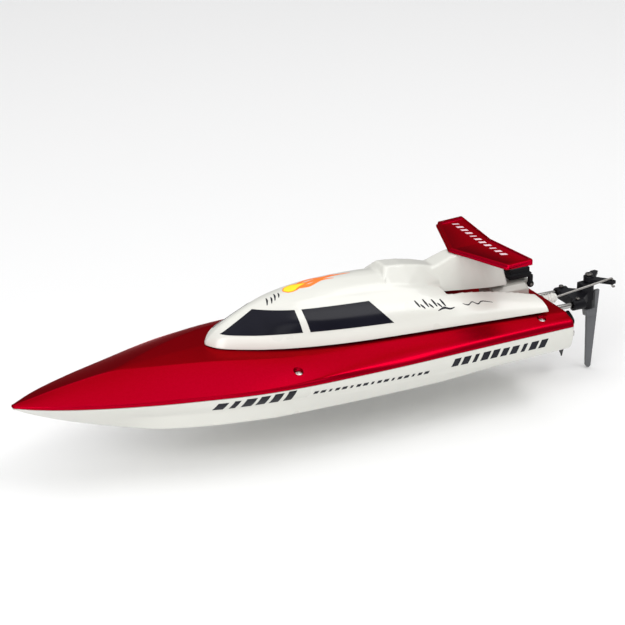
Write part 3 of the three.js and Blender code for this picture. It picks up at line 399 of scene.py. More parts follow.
def in_space(sections):
    """Rings of points from (x, [y, z] section) pairs."""
    return [np.column_stack([np.full(len(section), x), section]) for x, section in sections]


def prism(name, outline, low, high):
    """Upright solid of an [x, y] outline."""
    return loft(name, [np.array([(x, y, z) for x, y in outline]) for z in (low, high)])


def side_prism(name, outline, low, high):
    """Solid of a side outline of [x, z] points, from y = low to y = high."""
    return loft(name, [np.array([(x, y, z) for x, z in outline]) for y in (low, high)])


def box(name, low, high):
    (x0, y0, z0), (x1, y1, z1) = low, high
    return prism(name, [(x0, y0), (x1, y0), (x1, y1), (x0, y1)], z0, z1)


def turned(name, profile, place, axis, steps=40):
    """Turned solid: profile of (distance along the axis, radius), from one end to the other."""
    axis = Vector(axis).normalized()
    turn = Vector((0, 0, 1)).rotation_difference(axis).to_matrix()
    rings = []
    for along, radius in profile:
        angles = np.linspace(0, 2 * math.pi, steps, endpoint=False)
        spokes = [Vector((radius * math.cos(a), radius * math.sin(a), along)) for a in angles]
        rings.append(np.array([tuple(Vector(place) + turn @ spoke) for spoke in spokes]))
    return loft(name, rings)


def joined(name, pieces):
    """One object from several separate meshes."""
    work = bmesh.new()
    for piece in pieces:
        work.from_mesh(piece.data)
        bpy.data.objects.remove(piece)
    mesh = bpy.data.meshes.new(name)
    work.to_mesh(mesh)
    work.free()
    return placed(name, mesh)


# ---- lines of the boat
def line(points, soft=2.5):
    """Smooth curve through "x value" pairs in falling order of x, with its kinks eased over soft mm."""
    xs, vs = np.array([pair.split() for pair in points.split(",")], float)[::-1].T.copy()
    slope = np.empty_like(vs)
    slope[1:-1] = (vs[2:] - vs[:-2]) / (xs[2:] - xs[:-2])
    slope[0] = (vs[1] - vs[0]) / (xs[1] - xs[0])
    slope[-1] = (vs[-1] - vs[-2]) / (xs[-1] - xs[-2])
    step = 0.5
    grid = np.arange(xs[0] - 4 * soft, xs[-1] + 4 * soft + step, step)
    i = np.clip(np.searchsorted(xs, grid) - 1, 0, len(xs) - 2)
    span = xs[i + 1] - xs[i]
    t = np.clip((grid - xs[i]) / span, 0, 1)
    values = (vs[i] * (2 * t**3 - 3 * t**2 + 1) + vs[i + 1] * (3 * t**2 - 2 * t**3)
              + span * (slope[i] * (t**3 - 2 * t**2 + t) + slope[i + 1] * (t**3 - t**2)))
    values += slope[0] * np.minimum(grid - xs[0], 0) + slope[-1] * np.maximum(grid - xs[-1], 0)
    reach = int(3 * soft / step)
    kernel = np.exp(-0.5 * (np.arange(-reach, reach + 1) * step / soft) ** 2)
    eased = np.convolve(values, kernel / kernel.sum(), mode="same")
    eased[:reach] = values[:reach]
    eased[-reach:] = values[-reach:]
    return lambda x: float(np.interp(x, grid, eased))


def smoothstep(x, low, high):
    t = min(max((x - low) / (high - low), 0.0), 1.0)
    return t * t * (3 - 2 * t)


beam = line(
    "310 1.4, 305 4.8, 290 13.4, 270 22.3, 250 29.7, 230 36.6, 210 42.4, 190 46.3, 165 48.5, 140 48.7, "
    "110 48.2, 50 45.3, 0 43.3", 1.5)
seam = line("310 -0.9, 300 -1.4, 250 -1.1, 210 0, 0 0")
keel = line("310 -1.9, 299 -7.4, 282 -14, 262 -20.5, 240 -25.5, 210 -28.6, 160 -30, 80 -30, 0 -28", 1.5)
upper_chine_y = line(
    "310 0.9, 300 5, 285 10, 265 16, 247 22, 213 36, 186 42, 150 45.4, 120 46, 77 44.5, 47 43.4, 0 41.5")
upper_chine_z = line(
    "310 -1.2, 300 -3.6, 285 -6.6, 265 -9.6, 247 -10.8, 213 -9.6, 186 -8.6, 146 -9.5, 100 -10.2, 47 -11.8, "
    "0 -12.1")
lower_chine_y = line("310 0.5, 299 1.2, 282 3, 257 10, 240 20, 219 30, 200 36.8, 175 40, 78 40, 0 38.5")
lower_chine_z = line(
    "310 -1.6, 299 -6.4, 282 -12.6, 257 -18.4, 240 -19.7, 219 -18.9, 200 -17.8, 175 -18, 88 -17.8, "
    "47 -15.8, 0 -14.5")
shoulder_in = line(
    "310 0.25, 290 0.5, 250 0.7, 210 0.8, 178 1.1, 162 2, 138 5.8, 120 8.5, 104 9.6, 76 7.4, 40 5.4, "
    "16 5.4, 0 5.9")
shoulder_z = line(
    "310 -0.3, 300 0.3, 290 0.7, 250 1.5, 210 2.3, 175 2.7, 160 3.5, 138 5, 106 5.85, 40 5.7, 16 5.3, 0 4.5")
crease_y = line(
    "310 0.3, 262 0.6, 250 2.6, 230 10.8, 210 18.4, 190 25.2, 170 29.6, 150 30.6, 90 32, 30 33.6, 0 34.2")
crease_z = line(
    "310 0, 300 1.7, 288 4, 274 6.1, 260 7.8, 240 9.6, 220 11, 200 11.5, 180 10.7, 150 9.6, 90 8.3, 30 7, "
    "0 5.9")
deck_centre_z = line(
    "310 0.1, 300 1.9, 288 4.2, 274 6.3, 260 8, 240 9.9, 220 11.6, 200 12.2, 180 11.9, 150 10.8, 90 9.1, "
    "40 7.4, 0 5.9")
WALL = 1.8
INSIDE_FORE = 286
FULL_BEAM = 48


def eased(points, rounds):
    """Points with kinks smoothed out; both ends stay where they are."""
    points = points.copy()
    for _ in range(rounds):
        points[1:-1] = (points[:-2] + 2 * points[1:-1] + points[2:]) / 4
    return points


PER_SIDE, PER_CORNER = 7, 5


def section(corners, radii, swells, softness=0.0):
    """Moulded section through corners: sides swell outwards, corners are rounded, kinks are eased."""
    corners = np.asarray(corners, float)
    sides = corners[1:] - corners[:-1]
    lengths = np.maximum(np.linalg.norm(sides, axis=1), 1e-6)
    heading = sides / lengths[:, None]
    trims = np.zeros(len(corners))
    for i in range(1, len(corners) - 1):
        trims[i] = min(radii[i], 0.45 * lengths[i - 1], 0.45 * lengths[i])
    run = []
    for i in range(len(sides)):
        start = corners[i] + heading[i] * trims[i]
        end = corners[i + 1] - heading[i] * trims[i + 1]
        t = np.linspace(0, 1, PER_SIDE)[:, None]
        outward = np.array([heading[i][1], -heading[i][0]])
        run.append(start + (end - start) * t + outward * swells[i] * 4 * t * (1 - t))
        if i + 1 < len(sides):
            after = corners[i + 1] + heading[i + 1] * trims[i + 1]
            s = np.linspace(0, 1, PER_CORNER + 2)[1:-1, None]
            run.append((1 - s) ** 2 * end + 2 * s * (1 - s) * corners[i + 1] + s**2 * after)
    points = eased(np.concatenate(run), 2)
    return points + (eased(points, 14) - points) * softness


def both_sides(half, middle_point):
    """Corners of a whole section from its port half, listed from the port edge to the centreline."""
    return half + [middle_point] + [(-y, z) for y, z in reversed(half)]


def mirrored_corners(values):
    return values + values[-2::-1]


def mirrored_sides(values):
    return values + values[::-1]


def hull_section(x, inset=0.0):
    edge = (beam(x) - inset, seam(x) - SEAM_GAP / 2 + (1.0 if inset else 0.0))
    upper = (upper_chine_y(x) - inset, upper_chine_z(x) + inset * 0.3)
    lower = (max(lower_chine_y(x) - inset, 0.3), lower_chine_z(x) + inset * 0.8)
    full = min(beam(x) / FULL_BEAM, 1)
    corners = both_sides([edge, upper, lower], (0, keel(x) + inset * 1.1))
    radii, swells = [0, 1.6 * full, 1.3 * full, 1.5 * full], [-0.6 * full, -0.05, -0.8 * full]
    return section(corners, mirrored_corners(radii), mirrored_sides(swells))


def deck_section(x, inset=0.0):
    rise = min(1.6, 0.45 * (deck_centre_z(x) - seam(x)))
    full = min(beam(x) / FULL_BEAM, 1)
    edge = (beam(x) - inset, seam(x) + SEAM_GAP / 2 - (1.0 if inset else 0.0))
    lip = (beam(x) - 0.15 - inset, seam(x) + rise - inset * 0.6)
    shoulder = (beam(x) - shoulder_in(x) - inset * 1.1, shoulder_z(x) - inset)
    crease = (max(crease_y(x) - inset * 0.2, 0.1), crease_z(x) - inset)
    corners = both_sides([edge, lip, shoulder, crease], (0, deck_centre_z(x) - inset))
    aft = 1 - smoothstep(x, 140, 185)
    radii = mirrored_corners([0, 0.6 * full, 0.5 * full + 3.2 * aft, 0.6 * full, 1.5 * full])
    side_swell = 0.1 + smoothstep(x, 130, 175) - 0.25 * aft
    swells = mirrored_sides([0, (0.5 + 1.3 * aft) * full, side_swell * full, 0.05])
    return section(corners, radii, swells, softness=aft)


def stations(aft, fore, spacing):
    return list(np.linspace(aft, fore, int(round((fore - aft) / spacing)) + 1))


NOSE = [(308.2, 1.0), (309.1, 0.9), (309.6, 0.72), (309.88, 0.5), (310.0, 0.25)]
TAIL = [(0.0, 0.55), (0.15, 0.2), (0.5, 0.0)]
TRANSOM_HALF, TRANSOM_DEPTH = 44, 15


def shrunk(ring, centre, share):
    return centre + (ring - centre) * share


def outer_rings(section_at, centre_z):
    """Stations of a moulded half from transom to bow, with a softened transom rim and a rounded nose."""
    rings = []
    for x, inset in TAIL:
        share = (1 - inset / TRANSOM_HALF, 1 - inset / TRANSOM_DEPTH)
        rings.append((x, shrunk(section_at(x), (0, centre_z), share)))
    for x in stations(1.5, 300, 2.2) + stations(301, 307.5, 1.0):
        rings.append((x, section_at(x)))
    for x, share in NOSE:
        rings.append((x, shrunk(section_at(min(x, NOSE[0][0])), (0, seam(x)), share)))
    return in_space(rings)


def inner_rings(section_at):
    return in_space((x, section_at(x, WALL)) for x in stations(WALL, INSIDE_FORE, 3.2))


def make_hull():
    hull = loft("hull_moulding", outer_rings(hull_section, centre_z=-12.0))
    return cut(hull, loft("hull_inside", inner_rings(hull_section)))


# ---- cockpit
COCKPIT_AFT, COCKPIT_FORE = 82, 163
COCKPIT_WIDE, COCKPIT_NARROW, COCKPIT_CORNER = 19.5, 11.5, 5
COAMING_FOOT, COAMING_TOP, COAMING_WALL = 6.6, 13.2, 2.0


def trapezoid(margin):
    """Rounded outline of the cockpit opening, grown outwards by margin."""
    radius = COCKPIT_CORNER + margin
    aft, fore = COCKPIT_AFT - margin, COCKPIT_FORE + margin
    wide, narrow = COCKPIT_WIDE + margin, COCKPIT_NARROW + margin
    corners = [Vector(p) for p in ((aft, -wide), (fore, -narrow), (fore, narrow), (aft, wide))]
    outline = []
    for i, corner in enumerate(corners):
        entry = corner + (corners[i - 1] - corner).normalized() * radius
        leave = corner + (corners[(i + 1) % 4] - corner).normalized() * radius
        for s in np.linspace(0, 1, 8):
            point = entry * (1 - s) ** 2 + corner * (2 * s * (1 - s)) + leave * s**2
            outline.append((point.x, point.y))
    return outline


DECK_SCREWS = [f"{side}_{end}_deck_screw" for end in ("front", "rear") for side in SIDES]
HATCH_SCREWS = [f"{side}_{end}_hatch_screw" for end in ("front", "rear") for side in SIDES]
WING_SCREWS = ["front_wing_screw", "rear_wing_screw"]
SCREW_POST, POST_FOOT, POST_TOP, SCREW_SHANK_HOLE = 3.4, 0.3, 14.3, 1.3
SCREW_SEAT_DEPTH = 1.5
HATCH_BOSS, HATCH_BOSS_FOOT, HATCH_PILOT = 2.2, 7.6, 1.1


def stud(node, radius, low, high):
    """Upright cylinder on a screw's axis."""
    centre = middle(node)
    return turned("stud", [(0, radius), (high - low, radius)], (centre.x, centre.y, low), UP)


def make_deck():
    deck = loft("deck_moulding", outer_rings(deck_section, centre_z=3.0))
    posts = []
    for node in DECK_SCREWS:
        outer = placed("outer", deck.data.copy())
        posts.append(boolean(stud(node, SCREW_POST, POST_FOOT, POST_TOP), outer, "INTERSECT"))
    cut(deck, loft("deck_inside", inner_rings(deck_section)))
    union(deck, *posts)
    coaming = prism("coaming", trapezoid(COAMING_WALL), COAMING_FOOT, COAMING_TOP)
    cut(coaming, prism("opening", trapezoid(0.0), 0, 30))
    union(deck, coaming)
    union(deck, *(stud(node, HATCH_BOSS, HATCH_BOSS_FOOT, COAMING_TOP) for node in HATCH_SCREWS))
    cut(deck, prism("opening", trapezoid(0.0), -2, 30))
    for node in DECK_SCREWS:
        centre = middle(node)
        seat = boat_box(node)[1].z - SCREW_SEAT_DEPTH
        cut(deck, turned("recess", [(0, 2.45), (0.2, 2.6), (9, 2.6)], (centre.x, centre.y, seat), UP))
        cut(deck, stud(node, SCREW_SHANK_HOLE, -1, 5))
    for node in HATCH_SCREWS:
        cut(deck, stud(node, HATCH_PILOT, COAMING_TOP - 4, COAMING_TOP + 2))
    rod_exit = (0, middle("pushrod_boot").y, ROD_AT_TRANSOM)
    return cut(deck, turned("boot_hole", [(-2, 2.2), (3, 2.2)], rod_exit, AHEAD))


# ---- canopy
base_y = line(
    "201.5 0.8, 200.3 4, 198 7.2, 194 10.3, 186 14.3, 175 18.8, 156 24, 130 28.2, 101 30.4, 72 31.8, "
    "43 33, 9 34.6", 0.8)
base_z = line("201.5 12.6, 186 12, 156 11, 130 10.4, 101 9.8, 72 9.3, 43 8.5, 9 7.8")
belt_y = line(
    "201.5 0.6, 200 2.6, 198 4.8, 194 7.4, 186 11.8, 175 16.4, 154 21.3, 128 25, 102 27.2, 72 29.4, "
    "43 31.2, 9 33", 0.8)
belt_z = line(
    "201.5 13.3, 198.5 16.2, 194 18.2, 186 18.2, 175 17.9, 154 17.3, 128 16.5, 102 15.3, 72 14, 43 12.2, "
    "9 10.2", 1.5)
top_y = line(
    "201.5 0.3, 198.5 0.9, 190 2, 177 3.8, 165 8.9, 154 12.8, 140 14.8, 112 17, 90 18.6, 72 18.8, 52 18, "
    "32 20, 9 24")
top_z = line(
    "201.5 13.7, 198.5 17.2, 190 22.8, 177 28.4, 165 29.6, 154 28.9, 140 28.4, 112 27.2, 90 25.8, 72 23.9, "
    "52 21.6, 32 18.9, 9 14")
roof_z = line(
    "201.5 14, 198.5 17.6, 190 23.4, 177 29.6, 164 33.8, 145 37.2, 122 38.2, 100 37.2, 86 34.4, 74 29, "
    "66 24.6", 2.0)
CANOPY_WALL = 1.6
DOME_FORE = 201.5
WING_BOTTOM = 38.5
PILLAR_TOP = WING_BOTTOM - 0.3
RAIL_AFT, RAIL_FORE = 11.2, 78
DOME_AFT = 66
SKIRT = 4.0


def dome_section(x, inset=0.0):
    base = (base_y(x) - inset, base_z(x))
    belt = (belt_y(x) - inset, belt_z(x) - inset * 0.4)
    top = (max(top_y(x) - inset * 0.6, 0.25), top_z(x) - inset)
    crown = (0, roof_z(x) - inset)
    haunch = (top[0] * 0.55, top[1] + (crown[1] - top[1]) * 0.72)
    full = min(base_y(x) / 25, 1)
    skirt = (base[0] + 0.3, base[1] - SKIRT)
    corners = both_sides([skirt, base, belt, top, haunch], crown)
    radii = mirrored_corners([0, 0, 1.5 * full, 4 * full, 5 * full, 6 * full])
    swells = mirrored_sides([0, 0.3 * full, 0.7 * full, 0.2 * full, 0.1 * full])
    return section(corners, radii, swells)


def rail_section(x, inset, side):
    floor = base_z(x) - SKIRT
    skirt = (base_y(x) - inset + 0.3, floor)
    base = (base_y(x) - inset, base_z(x))
    belt = (belt_y(x) - inset, belt_z(x) - inset * 0.4)
    top = (top_y(x) + inset * 0.2, top_z(x) - inset)
    inner = (top_y(x) + (inset if inset else -1.5), floor)
    run = section([skirt, base, belt, top, inner], [0, 0, 1.5, 0.8, 0], [0, 0.2, 0.7, 0.0])
    run[:, 0] *= side
    return run


# Scoop sections from its front: x, half width low down and at the crest, height of sides and crest.
SCOOP = ((101, 12.5, 11, 31, 34), (97.5, 12.4, 5, 31.5, 39.8), (86, 12.3, 5, 30.5, 38.8),
         (76, 11.6, 5, 28, 36.8), (62, 8, 4.5, 26, 33))
SCOOP_FLOOR = 22.0


def scoop_solid(inset):
    """Roof air scoop: front face leaning back, flat crest, sides flaring to the roof."""
    rings = []
    for i, (x, low_half, top_half, low, top) in enumerate(SCOOP):
        low_half -= inset
        half = [(low_half, SCOOP_FLOOR), (low_half, low - inset), (top_half - inset, top - inset)]
        whole = half + [(-y, z) for y, z in reversed(half)]
        rings.append(np.array([(x - (inset if i == 0 else 0), y, z) for y, z in whole]))
    return loft("scoop", rings)


def pillar_solid(inset):
    """Wing pillar in level slices: flat leaning front face, long sides that flare out low down."""
    rings = []
    for z in np.linspace(16, PILLAR_TOP - inset, 12):
        t = min(max((z - 17) / 21, 0), 1)
        rear = 21.3 + 5.2 * t + inset
        front = min(55 + (38.4 - z) * 3.0, 76) - inset
        half = 9 - 3 * t - inset
        flare = 1 + 0.5 * (1 - t) ** 2
        port = [(rear, half * 0.8), (rear + 1.5, half), (rear + 14, half * (0.5 + 0.5 * flare)),
                (front - 12, half * flare), (front - 1.5, half * 0.93), (front, half * 0.8)]
        rings.append(np.array([(x, y, z) for x, y in port + [(x, -y) for x, y in reversed(port)]]))
    return loft("pillar", rings)


def under_pillar():
    """The clear space for the latch and the tail housing below the pillar."""
    return side_prism("under_pillar", [(10, 5), (10, 15.2), (66, 21.4), (66, 5)], -16.5, 16.5)


def canopy_solid(inset):
    """Dome, side rails, scoop and pillar in one; the inner one is inset and open below."""
    dome_aft = DOME_AFT + (CANOPY_WALL if inset else 0)
    dome_fore = 197.5 if inset else DOME_FORE
    body = loft("canopy", in_space((x, dome_section(x, inset)) for x in stations(dome_aft, dome_fore, 1.5)))
    rail_end = RAIL_AFT + (inset or -SKIRT)
    for side in SIDES.values():
        rail = ((x, rail_section(x, inset, side)) for x in stations(rail_end, RAIL_FORE, 2.0))
        union(body, loft("rail", in_space(rail)))
    scoop, pillar = scoop_solid(inset), pillar_solid(inset)
    if inset:
        cut(scoop, box("behind", (0, -20, 0), (dome_aft, 20, 50)))
        cut(pillar, box("ahead", (DOME_AFT, -20, 0), (90, 20, 50)))
    return union(body, scoop, pillar)


def below_canopy():
    """Everything under the canopy's lower edge."""
    rings = []
    for x in stations(-10, 215, 1.5):
        top = base_z(min(max(x, RAIL_AFT), DOME_FORE))
        rings.append(np.array([(x, y, z) for y, z in ((-60, -20), (60, -20), (60, top), (-60, top))]))
    return loft("below_canopy", rings)


def rail_ends():
    """The space behind the side rails, whose ends lean back and are rounded in side view."""
    end = [(0.3, -10), (0, 7.8), (0.15, 10.4), (0.9, 12.6), (2.6, 14.6), (5.5, 16.2), (7, 25)]
    outline = [(-10, -10)] + [(RAIL_AFT + x, z) for x, z in end] + [(-10, 25)]
    return side_prism("rail_ends", outline, -60, 60)


CANOPY_VOXEL, CANOPY_ROUNDS = 0.7, 7


def make_canopy():
    canopy = mould_softened(canopy_solid(0.0), CANOPY_VOXEL, CANOPY_ROUNDS)
    cut(canopy, below_canopy(), rail_ends(), under_pillar(), canopy_solid(CANOPY_WALL))
    for node in WING_SCREWS:
        cut(canopy, turned("screw_hole", [(30, 1.1), (42, 1.1)], (middle(node).x, 0, 0), UP))
    return canopy


def surface_of(piece):
    return BVHTree.FromObject(piece, bpy.context.evaluated_depsgraph_get())


def drop_onto(tree, start, heading, lift):
    """The point where a ray meets a surface, raised by lift along the surface's own normal."""
    heading = Vector(heading).normalized()
    hit, normal, _, _ = tree.ray_cast(Vector(start), heading)
    if hit is None:
        hit, normal, _, _ = tree.find_nearest(Vector(start))
    if normal.dot(heading) > 0:
        normal = -normal
    return hit + normal * lift


def patch(name, tree, grid, start_at, heading, lift, thickness):
    """Thin closed sheet of grid (rows, columns) laid on a surface: start_at(u, v) gives a point above it."""
    rows, columns = grid
    upper, lower = [], []
    for r in range(rows):
        for c in range(columns):
            start = start_at(c / (columns - 1), r / (rows - 1))
            upper.append(drop_onto(tree, start, heading, lift))
            lower.append(drop_onto(tree, start, heading, lift - thickness))
    count = rows * columns
    faces = grid_faces(rows, columns)
    faces += [tuple(count + i for i in reversed(f)) for f in faces]
    rim = list(range(columns)) + [r * columns + columns - 1 for r in range(1, rows)]
    rim += [count - columns + c for c in range(columns - 2, -1, -1)]
    rim += [r * columns for r in range(rows - 2, 0, -1)]
    for a, b in zip(rim, rim[1:] + rim[:1]):
        faces.append((a, b, count + b, count + a))
    return tidy_mesh(new_object(name, upper + lower, faces), 1e-5)


# Corners in side view, (x, z): bottom fore, bottom aft, top fore, top aft.
WINDOWS = {
    "front": ((194.9, 18.9), (154.5, 17.9), (175.8, 29.0), (155.5, 28.1)),
    "rear": ((150.4, 17.7), (103.2, 16.0), (151.8, 28.0), (113.4, 26.9)),
}
WINDOW_GRID = (26, 44)
PANE_LIFT, PANE_THICKNESS = 0.16, 0.5


def make_window(name, tree, corners, side):
    bottom_fore, bottom_aft, top_fore, top_aft = (np.array(c, float) for c in corners)

    def start_at(u, v):
        low = bottom_fore + (bottom_aft - bottom_fore) * u
        high = top_fore + (top_aft - top_fore) * u
        x, z = low + (high - low) * v
        return Vector((x, 50 * side, z))

    return patch(name, tree, WINDOW_GRID, start_at, (0, -side, 0), PANE_LIFT, PANE_THICKNESS)


# ---- printed marks
INK_LIFT, INK_THICKNESS = 0.05, 0.1


def ribbon(name, tree, path, widths, heading, across, grid, lift=INK_LIFT):
    """Thin printed stroke along a path of points, laid on a surface along heading."""
    path = [Vector(p) for p in path]
    across = Vector(across)

    def start_at(u, v):
        place = u * (len(path) - 1)
        i = min(int(place), len(path) - 2)
        t = place - i
        p0, p1, p2, p3 = path[max(i - 1, 0)], path[i], path[i + 1], path[min(i + 2, len(path) - 1)]
        point = 0.5 * (2 * p1 + (p2 - p0) * t + (2 * p0 - 5 * p1 + 4 * p2 - p3) * t**2
                       + (3 * p1 - 3 * p2 + p3 - p0) * t**3)
        width = float(np.interp(u, np.linspace(0, 1, len(widths)), widths))
        return point + across * (width * (v - 0.5))

    return patch(name, tree, grid, start_at, heading, lift, INK_THICKNESS)


def bars(tree, start, step, count, size, slant, side):
    """A row of slanted bars down the hull's side; start and step are (x, z)."""
    strokes = []
    for i in range(count):
        x, z = start[0] + step[0] * i, start[1] + step[1] * i
        length, height = size[i % len(size)]
        path = (x, 80 * side, z), (x - slant, 80 * side, z + height)
        strokes.append(ribbon("bar", tree, path, (length, length), (0, -side, 0), AHEAD, (6, 6)))
    return joined("bars", strokes)


# Start, step, count, lengths and heights in turn, and slant of each row of bars.
HULL_BARS = (
    ((212.6, -7.4), (-7.3, 0.1), 6,
     ((5.4, 4.6), (3.2, 5.1), (5.6, 5.5), (5.0, 5.7), (5.0, 5.9), (4.4, 6.2)), 2.2),
    ((160.8, -5.4), (-4.15, -0.16), 17, ((2.5, 1.7), (2.9, 1.7), (1.5, 1.7)), 0.7),
    ((76.6, -7.3), (-6.2, -0.12), 10, ((4.2, 4.7), (4.6, 4.7), (2.6, 4.8), (4.8, 4.9), (4.4, 5.0)), 1.9),
)
# Ticks are x, z and rise. Strokes are a path, [x, z] on the flank or [x, y] on the roof, and its widths.
FLANK_TICKS = ((86.6, 22, 3), (84, 20.6, 2), (81.6, 21.6, 3.4), (79, 20.2, 2), (76.6, 21, 3.2),
               (74, 19.8, 2), (71.6, 20.4, 3.2))
FLANK_STROKES = tuple(
    (((x + 0.9, z + rise / 2), (x, z), (x - 0.9, z - rise / 2)), (0.7, 1.3, 0.6))
    for x, z, rise in FLANK_TICKS
) + (
    (((76, 17.6), (72, 18.3), (68.6, 17.4), (65.6, 17.6)), (0.3, 1, 0.8, 0.2)),
    (((60, 18.2), (57, 17.2), (54, 18), (51, 16.7), (48, 17.4), (42, 16.1)),
     (0.2, 0.5, 0.35, 0.5, 0.35, 0.2)),
)
ROOF_STROKES = (
    (((168, 6), (167, 3.8), (166.6, 1.6)), (0.5, 1.1, 0.5)),
    (((165.4, 6.2), (164.5, 4.2), (164.2, 2.4)), (0.5, 1.1, 0.5)),
    (((163.2, 5.6), (162.1, 3.2), (161.7, 0.8)), (0.5, 1.1, 0.5)),
    (((160.6, 4.8), (159.8, 3.2), (159.5, 1.4)), (0.5, 1, 0.5)),
)


RAY_START = 60
FLANK_GRID, ROOF_GRID = (3, 18), (7, 30)


def strokes_on(name, tree, strokes, side=0, lift=INK_LIFT):
    """Strokes on the canopy's flank towards side, or on its roof where side is 0."""
    made = []
    for path, widths in strokes:
        (x0, w0), (x1, w1) = path[0], path[-1]
        if side:
            points, heading, grid = [(x, RAY_START * side, z) for x, z in path], (0, -side, 0), FLANK_GRID
        else:
            points, heading, grid = [(x, y, RAY_START) for x, y in path], (0, 0, -1), ROOF_GRID
        lengthwise = abs(x1 - x0) > abs(w1 - w0)
        across = (UP if side else (0, 1, 0)) if lengthwise else AHEAD
        made.append(ribbon("stroke", tree, points, widths, heading, across, grid, lift))
    return joined(name, made)


# A plain comet in place of any picture: a rounded head with tapering tails.
COMET_HEAD = (
    (((156.1, 1.4), (152.1, 1), (148.1, 0.8), (143.5, 1)), (0.4, 5, 6.4, 5.8, 3.6, 1.6, 0.2)),
)
COMET_TAILS = (
    (((156.7, 1.4), (152.1, 1), (146.5, 0.8), (139.5, 0.8)), (0.6, 6, 7.4, 7, 5, 2.6, 0.6)),
    (((148.5, 3), (141.5, 3.4), (133.5, 1.4), (126.5, 2.2)), (1.4, 2.4, 2, 1.1, 0.2)),
    (((146.5, -1.4), (139.5, -3), (131.5, -1.6), (123.5, -3.4)), (1.4, 2.4, 2, 1.1, 0.2)),
    (((143.5, 0.8), (134.5, -0.2), (125.5, -1), (115.5, -0.4)), (2, 2.6, 2.2, 1.4, 0.2)),
)


# ---- wing
WING_HALF = 38.3
WING_APEX, WING_TIP_FRONT = 55.0, 41.0
WING_REAR, WING_TIP_REAR = 28.5, 24.4


WING_TOP, WING_FALL = 43.4, 0.055


def wing_top(x):
    """Height of the wing's top plane, which falls towards its front."""
    return WING_TOP - WING_FALL * x


# The wing's upper outline: [inset, drop below the top plane] over the two rims, and [inset, share of the
# pocket's depth] down and up the pocket's walls.
FRONT_RIM = ((0.0, 1.75), (0.08, 1.5), (0.3, 1.4), (0.8, 1.35), (0.95, 1.2), (0.98, 0.6), (1.1, 0.22),
             (1.35, 0.03), (1.7, 0.0), (2.3, 0.0), (2.65, 0.06))
FRONT_WALL = ((2.85, 0.4), (2.95, 0.85), (3.2, 1.0))
REAR_WALL = ((1.15, 1.0), (0.98, 0.85), (0.9, 0.4))
REAR_RIM = ((0.8, 0.1), (0.65, 0.02), (0.35, 0.03), (0.12, 0.15), (0.0, 0.45))
POCKET_DEPTH = 1.05


def wing_ring(y, drawn_in):
    """Fore-and-aft section of the wing: stepped front edge, shallow pocket, narrow rear rim."""
    share = abs(y) / WING_HALF
    rear = WING_REAR + (WING_TIP_REAR - WING_REAR) * share + drawn_in
    fore = WING_APEX + (WING_TIP_FRONT - WING_APEX) * share - drawn_in
    low = WING_BOTTOM + drawn_in * 0.5
    pocket = POCKET_DEPTH * (1 - smoothstep(abs(y), WING_HALF - 3.3, WING_HALF - 2.7))
    outline = [(rear + 0.35, low), (fore - 0.35, low), (fore - 0.1, low + 0.1), (fore, low + 0.35)]
    upper = [(fore - inset, drop) for inset, drop in FRONT_RIM]
    upper += [(fore - inset, max(pocket * depth, 0.06)) for inset, depth in FRONT_WALL]
    upper += [(rear + inset, max(pocket * depth, 0.06)) for inset, depth in REAR_WALL]
    upper += [(rear + inset, drop) for inset, drop in REAR_RIM]
    outline += [(x, wing_top(x) - drop - drawn_in * 0.45) for x, drop in upper]
    outline += [(rear, low + 0.35), (rear + 0.1, low + 0.1)]
    return np.array([(x, y, z) for x, z in outline])


WING_TIP = ((2.2, 0.0), (1.4, 0.03), (0.9, 0.12), (0.5, 0.28), (0.22, 0.5), (0.06, 0.8), (0.0, 1.15))


def make_wing():
    port = [(y, 0.0) for y in np.linspace(0.4, WING_HALF - 3.4, 20)]
    port += [(WING_HALF - 3.3 + i * 0.1, 0.0) for i in range(7)]
    port += [(WING_HALF - out, inset) for out, inset in WING_TIP]
    places = [(-y, inset) for y, inset in reversed(port)] + [(0.0, 0.0)] + port
    return loft("wing_moulding", [wing_ring(y, inset) for y, inset in places])


# Place across the wing and length of each bar; every fourth is short.
WING_BARS = [(y, 4.3 if i % 4 else 2.4) for i, y in enumerate(np.linspace(-31, 21, 11))]
BAR_WIDTH = 0.55


def make_wing_marks(tree):
    strokes = []
    for y, length in WING_BARS:
        centre, width = 33.6 - 0.04 * abs(y), length * BAR_WIDTH
        path = (centre + 1.6, y - 0.8, 60), (centre - 1.6, y + 0.8, 60)
        strokes.append(ribbon("bar", tree, path, (width, width), (0, 0, -1), (0, 1, 0), (4, 6)))
    return joined("wing_marks", strokes)


# ---- moulded fittings from CAD shapes
def moulding(node, voxel, rounds):
    """A CAD node's shape in boat millimetres, rounded and thinned where it is flat, to replace the node."""
    mesh = frame["nodes"][node].data.copy()
    mesh.transform(Matrix.Scale(1 / MM, 4) @ Matrix.Translation(-ORIGIN))
    piece = mould_softened(placed(f"{node}_moulding", mesh), voxel, rounds)
    return modified(piece, "DECIMATE", ratio=0.5)


def pan_head(name, foot, radius, height, axis, shank):
    """Domed screw head with a cross recess, on a shank of (radius, length) below it."""
    foot, axis = Vector(foot), Vector(axis)
    profile = [(0, 0.96), (0.12, 1), (0.45, 0.97), (0.75, 0.8), (0.93, 0.5), (1, 0.12)]
    head = turned(name, [(height * along, radius * wide) for along, wide in profile], foot, axis, 36)
    side = axis.orthogonal().normalized()
    turn = Matrix((side, axis.cross(side), axis)).transposed().to_4x4()
    deep, long, wide = height * 0.62, radius * 0.62, radius * 0.13
    for x, y in ((long, wide), (wide, long)):
        slot = box("slot", (-x, -y, height - deep), (x, y, height + 1))
        slot.data.transform(Matrix.Translation(foot) @ turn)
        cut(head, slot)
    return union(head, turned("shank", [(-shank[1], shank[0]), (height * 0.2, shank[0])], foot, axis, 20))


